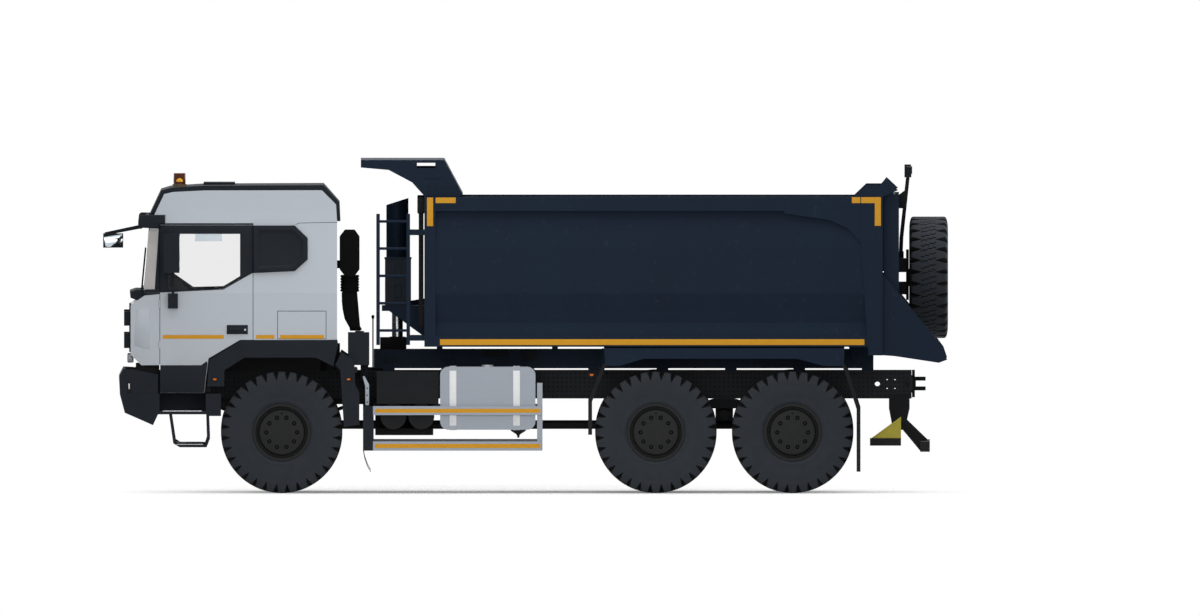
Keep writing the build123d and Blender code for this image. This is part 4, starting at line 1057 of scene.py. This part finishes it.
class TRUCK_OT_chassis_fittings(bpy.types.Operator):
    """Fit the marker lamps, tank straps, bumper trim, guard hangers and other small fittings"""

    bl_idname = "truck.chassis_fittings"
    bl_label = "Chassis fittings"

    def blocks(self, name, side, rows, bevel):
        """Rounded boxes by rows of spans, on one side, as one mesh."""
        return join_pieces([side_box(f"{name}_{n}", side, row, bevel, 2) for n, row in enumerate(rows)], name)

    def execute(self, context):
        hanger = [(-1.668, 1.196), (-1.648, 1.196), (-1.602, 1.112), (-1.602, 0.897), (-1.642, 0.897),
                  (-1.642, 1.090)]
        hanger_holes = [disc_outline(-1.622, z, 0.007, 12) for z in (0.93, 1.00, 1.07)]
        # x low, x high, y inner, y outer, z low, z high
        clamps = [(-0.032, 0.104, 0.424, 0.450, 1.345, 1.462), (-0.427, -0.176, 0.424, 0.436, 1.390, 1.462),
                  (1.960, 2.090, 0.424, 0.450, 1.345, 1.462)]
        clamps += [(x + 0.040 * n, x + 0.040 * n + 0.012, 0.424, 0.434, 1.330, 1.378)
                   for x in (-1.447, -0.850, -0.300) for n in range(4)]
        tray = [(-1.540, -0.945, 0.560, 0.900, 0.590, 0.665), (-1.540, -0.945, 0.500, 0.515, 0.600, 0.950)]
        link = [(-1.620, -1.460, 0.300, 0.342, 1.200, 1.275), (-1.660, -1.612, 0.420, 0.460, 1.000, 1.300)]
        strap_runs = [(1.187, 1.194, 0.690, 1.255), (0.700, 1.150, 1.294, 1.301),
                      (0.700, 1.150, 0.645, 0.652)]
        straps = [(x, x + 0.070, *run) for x in (-0.779, -0.128) for run in strap_runs]
        # body, depth, x low and z low of a marker lamp
        markers = [("cab", 1.239, -3.215, 1.147), ("chassis", 1.239, -1.846, 1.147),
                   ("chassis", 1.200, 0.642, 1.192)]
        # name, rows, bevel, slot, finish
        groups = [
            ("clamp_plates", clamps, 0.003, "chassis_paint", None),
            ("tank_tray", tray, 0.006, "chassis_paint", "flap"),
            ("frame_link", link, 0.003, "chassis_paint", "flap"),
        ]
        for hand, side in HANDS:
            for n, (body, depth, x, z) in enumerate(markers):
                piece = plate(f"marker_box_{hand}_{n}", box_outline(x, x + 0.066, z, z + 0.036), side * depth,
                              0.006, bevel=0.002)
                finish_piece(piece, body, "dark_trim", "flap")
                piece = plate(f"marker_{hand}_{n}", box_outline(x + 0.016, x + 0.050, z + 0.009, z + 0.028),
                              side * (depth + 0.005), 0.005, bevel=0.002)
                finish_piece(piece, body, "lamp", "amber")
            piece = self.blocks(f"tank_straps_{hand}", side, straps, 0.002)
            finish_piece(piece, "chassis", "aluminium", "strap")
            bezel = plate(f"lamp_bezel_{hand}", box_outline(-4.078, -4.030, 1.030, 1.150), side * WALL_OUT,
                          0.004, bevel=0.0018)
            inlay = side * (WALL_OUT - 0.0005)
            holes = [plate(f"bumper_hole_{hand}_{z}", disc_outline(-3.846, z, 0.012), inlay, 0.0012)
                     for z in (1.103, 0.919)]
            seam = plate(f"bumper_seam_{hand}", box_outline(-4.020, -3.770, 1.026, 1.030), inlay, 0.0012)
            piece = join_pieces([bezel, *holes, seam], f"bumper_trim_{hand}")
            finish_piece(piece, "chassis", "dark_trim", "flap")
            slit = plate(f"bumper_lamp_{hand}", box_outline(-4.065, -4.052, 1.066, 1.122),
                         side * (WALL_OUT + 0.0035), 0.003, bevel=0.0012)
            finish_piece(slit, "chassis", "lamp", "strap")
            piece = plate(f"guard_hanger_{hand}", hanger, side * 1.170, 0.010, hanger_holes, 0.0015)
            finish_piece(piece, "chassis", "aluminium")
            for name, rows, bevel, slot, finish in groups:
                piece = self.blocks(f"{name}_{hand}", side, rows, bevel)
                finish_piece(piece, "chassis", slot, finish)
        return {"FINISHED"}


class TRUCK_OT_turned_parts(bpy.types.Operator):
    """Spin the beacon lens, intake bellows, drain funnel and frame lever, and round the intake duct"""

    bl_idname = "truck.turned_parts"
    bl_label = "Turned parts"

    def turned(self, name, x, y, profile):
        """A profile of radius and height points spun round an upright axis and closed on it."""
        piece = begin(name)
        trace([(x + reach, y, height) for reach, height in profile], closed=False)
        spin_round(40, (0, 0, 1), (x, y, 0))
        return piece

    def execute(self, context):
        lens = [(0.0, BEACON_TOP - 0.098), (0.063, BEACON_TOP - 0.098), (0.0605, BEACON_TOP - 0.012),
                (0.056, BEACON_TOP - 0.002), (0.046, BEACON_TOP + 0.001), (0.0, BEACON_TOP + 0.001)]
        finish_piece(self.turned("beacon_lens", BEACON_X, BEACON_Y, lens), "cab", "lamp", "dome")
        folds = [(0.0, 2.060)]
        for n in range(6):
            low = 2.060 + 0.029 * n
            folds += [(0.088, low), (0.097, low + 0.009), (0.097, low + 0.018), (0.088, low + 0.027)]
        folds += [(0.0, 2.234)]
        finish_piece(self.turned("intake_bellows", -1.800, -0.940, folds), "cab", "dark_trim", "void")
        duct = [(-1.884, 2.068), (-1.882, 1.960), (-1.874, 1.880), (-1.853, 1.781), (-1.808, 1.700),
                (-1.780, 1.665), (-1.668, 1.665), (-1.690, 1.700), (-1.718, 1.760), (-1.732, 1.827),
                (-1.734, 2.068)]
        piece = plate("intake_duct", duct, -0.868, 0.144, bevel=0.040, segments=4)
        finish_piece(piece, "cab", "dark_trim", "void")
        funnel = [(0.0, 0.565), (0.010, 0.566), (0.014, 0.592), (0.030, 0.606), (0.072, 0.632),
                  (0.082, 0.648), (0.0, 0.648)]
        finish_piece(self.turned("tank_funnel", -0.075, -0.930, funnel), "chassis", "chassis_paint")
        lever = [(0.0, 1.270), (0.007, 1.270), (0.007, 1.775), (0.013, 1.782), (0.016, 1.798), (0.013, 1.812),
                 (0.0, 1.816)]
        finish_piece(self.turned("frame_lever", -1.563, -0.360, lever), "chassis", "chassis_paint")
        return {"FINISHED"}


class TRUCK_OT_stage(bpy.types.Operator):
    """Set the pale floor, the soft lights and the camera of the photograph"""

    bl_idname = "truck.stage"
    bl_label = "Studio"

    def pale(self, nodes):
        """1 on rays that see the background itself: camera, mirror-like and through glass."""
        path = nodes.tree.nodes.new("ShaderNodeLightPath")
        kinds = ("Is Camera Ray", "Is Glossy Ray", "Is Transmission Ray")
        camera, glossy, through = (Value(nodes, path.outputs[kind]) for kind in kinds)
        return nodes.add("ShaderNodeMath", {"operation": "MINIMUM"}, [camera + glossy + through, 1.0])

    def lay_floor(self):
        """A pale disc under the truck that fades out before the picture's edges."""
        clear_selection()
        bpy.ops.mesh.primitive_circle_add(vertices=96, radius=15.0, fill_type="NGON", location=(0, 0, -0.001))
        floor = bpy.context.object
        floor.name = "floor"
        look = Look("pale_floor", Roughness=0.9, Emission_Strength=1.0)
        # the fade is squeezed along the truck, so that the line of shadow ends just past bumper and tail
        shadow_middle, squeeze, full_reach, faded_reach = 0.2, 1.7, 4.4, 7.5
        along = (look.along("X") - shadow_middle) * squeeze
        deep = look.along("Y")
        reach = (along * along + deep * deep) ** 0.5
        look.colour(look.mix(look.noise(0.8, 3.0), (0.80, 0.80, 0.80), (0.84, 0.84, 0.84)))
        glow = look.mix(self.pale(look), (0.0, 0.0, 0.0), (0.18, 0.18, 0.18))
        look.feed(look.shader.inputs["Emission Color"], glow)
        look.feed(look.shader.inputs["Alpha"], look.ramp(reach, faded_reach, full_reach))
        floor.data.materials.append(look.material)

    def execute(self, context):
        self.lay_floor()

        world = bpy.data.worlds.new("studio")
        context.scene.world = world
        world.use_nodes = True
        sky = Nodes(world.node_tree)
        fill = sky.add("ShaderNodeBackground", None, {"Color": (1.0, 1.0, 1.0), "Strength": 0.35})
        white = sky.add("ShaderNodeBackground", None, {"Color": (1.0, 1.0, 1.0), "Strength": 1.0})
        shown = sky.add("ShaderNodeMixShader", None, [self.pale(sky), fill, white])
        sky.feed(sky.tree.nodes["World Output"].inputs["Surface"], shown)

        # name, place, aim, width, height, power
        lamps = [
            ("overhead_softbox", (0.5, -1.5, 10.0), (0.5, -1.5, 0), 18.0, 11.0, 1250),
            ("side_softbox", (-0.5, -12.0, 3.5), (0, 0, 1.8), 14.0, 5.0, 335),
            ("tail_softbox", (9.5, 6.0, 5.0), (0, 0, 1.5), 6.0, 4.0, 150),
        ]
        for name, place, aim, width, height, power in lamps:
            bpy.ops.object.light_add(type="AREA", location=place)
            lamp = bpy.context.object
            lamp.name = name
            lamp.data.shape = "RECTANGLE"
            lamp.data.size, lamp.data.size_y, lamp.data.energy = width, height, power
            lamp.rotation_euler = (Vector(aim) - Vector(place)).to_track_quat("-Z", "Y").to_euler()

        lift = context.scene.truck_sizes.camera_lift
        distance, picture_width = 25, 12.282
        bpy.ops.object.camera_add()
        camera = bpy.context.object
        camera.data.type = "ORTHO"
        camera.data.ortho_scale = picture_width
        camera.data.clip_end = 200.0
        aim = Vector((0.761, -1.2, 1.9006))
        camera.location = aim + Vector((0, -distance * cos(lift), distance * sin(lift)))
        camera.rotation_euler = (pi / 2 - lift, 0, 0)
        context.scene.camera = camera
        context.scene.view_settings.view_transform = "Standard"
        return {"FINISHED"}


class TRUCK_PT_dressing(bpy.types.Panel):
    """The truck's dressing steps and settings"""

    bl_idname = "TRUCK_PT_dressing"
    bl_label = "Dump truck"
    bl_space_type = "VIEW_3D"
    bl_region_type = "UI"
    bl_category = "Truck"

    def draw(self, context):
        for group in (context.scene.truck_sizes, context.scene.truck_colours):
            for name in group.__annotations__:
                self.layout.prop(group, name)
        for step in STEPS:
            self.layout.operator(step.bl_idname)


STEPS = [
    TRUCK_OT_finishes, TRUCK_OT_tyres, TRUCK_OT_wheel_nuts, TRUCK_OT_tape, TRUCK_OT_cab_cladding,
    TRUCK_OT_door_seals, TRUCK_OT_mirrors, TRUCK_OT_bed_fittings, TRUCK_OT_inner_panels,
    TRUCK_OT_chassis_fittings, TRUCK_OT_turned_parts, TRUCK_OT_stage,
]
CLASSES = [TruckColours, TruckSizes, *STEPS, TRUCK_PT_dressing]


def register():
    for cls in CLASSES:
        bpy.utils.register_class(cls)
    bpy.types.Scene.truck_colours = PointerProperty(type=TruckColours)
    bpy.types.Scene.truck_sizes = PointerProperty(type=TruckSizes)


def unregister():
    del bpy.types.Scene.truck_sizes
    del bpy.types.Scene.truck_colours
    for cls in reversed(CLASSES):
        bpy.utils.unregister_class(cls)


def main():
    register()
    bpy.ops.truck.finishes()
    bpy.ops.truck.tyres()
    bpy.ops.truck.wheel_nuts()
    bpy.ops.truck.tape()
    bpy.ops.truck.cab_cladding()
    bpy.ops.truck.door_seals()
    bpy.ops.truck.mirrors()
    bpy.ops.truck.bed_fittings()
    bpy.ops.truck.inner_panels()
    bpy.ops.truck.chassis_fittings()
    bpy.ops.truck.turned_parts()
    bpy.ops.truck.stage()
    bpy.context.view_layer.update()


if __name__ == "__main__":
    main()
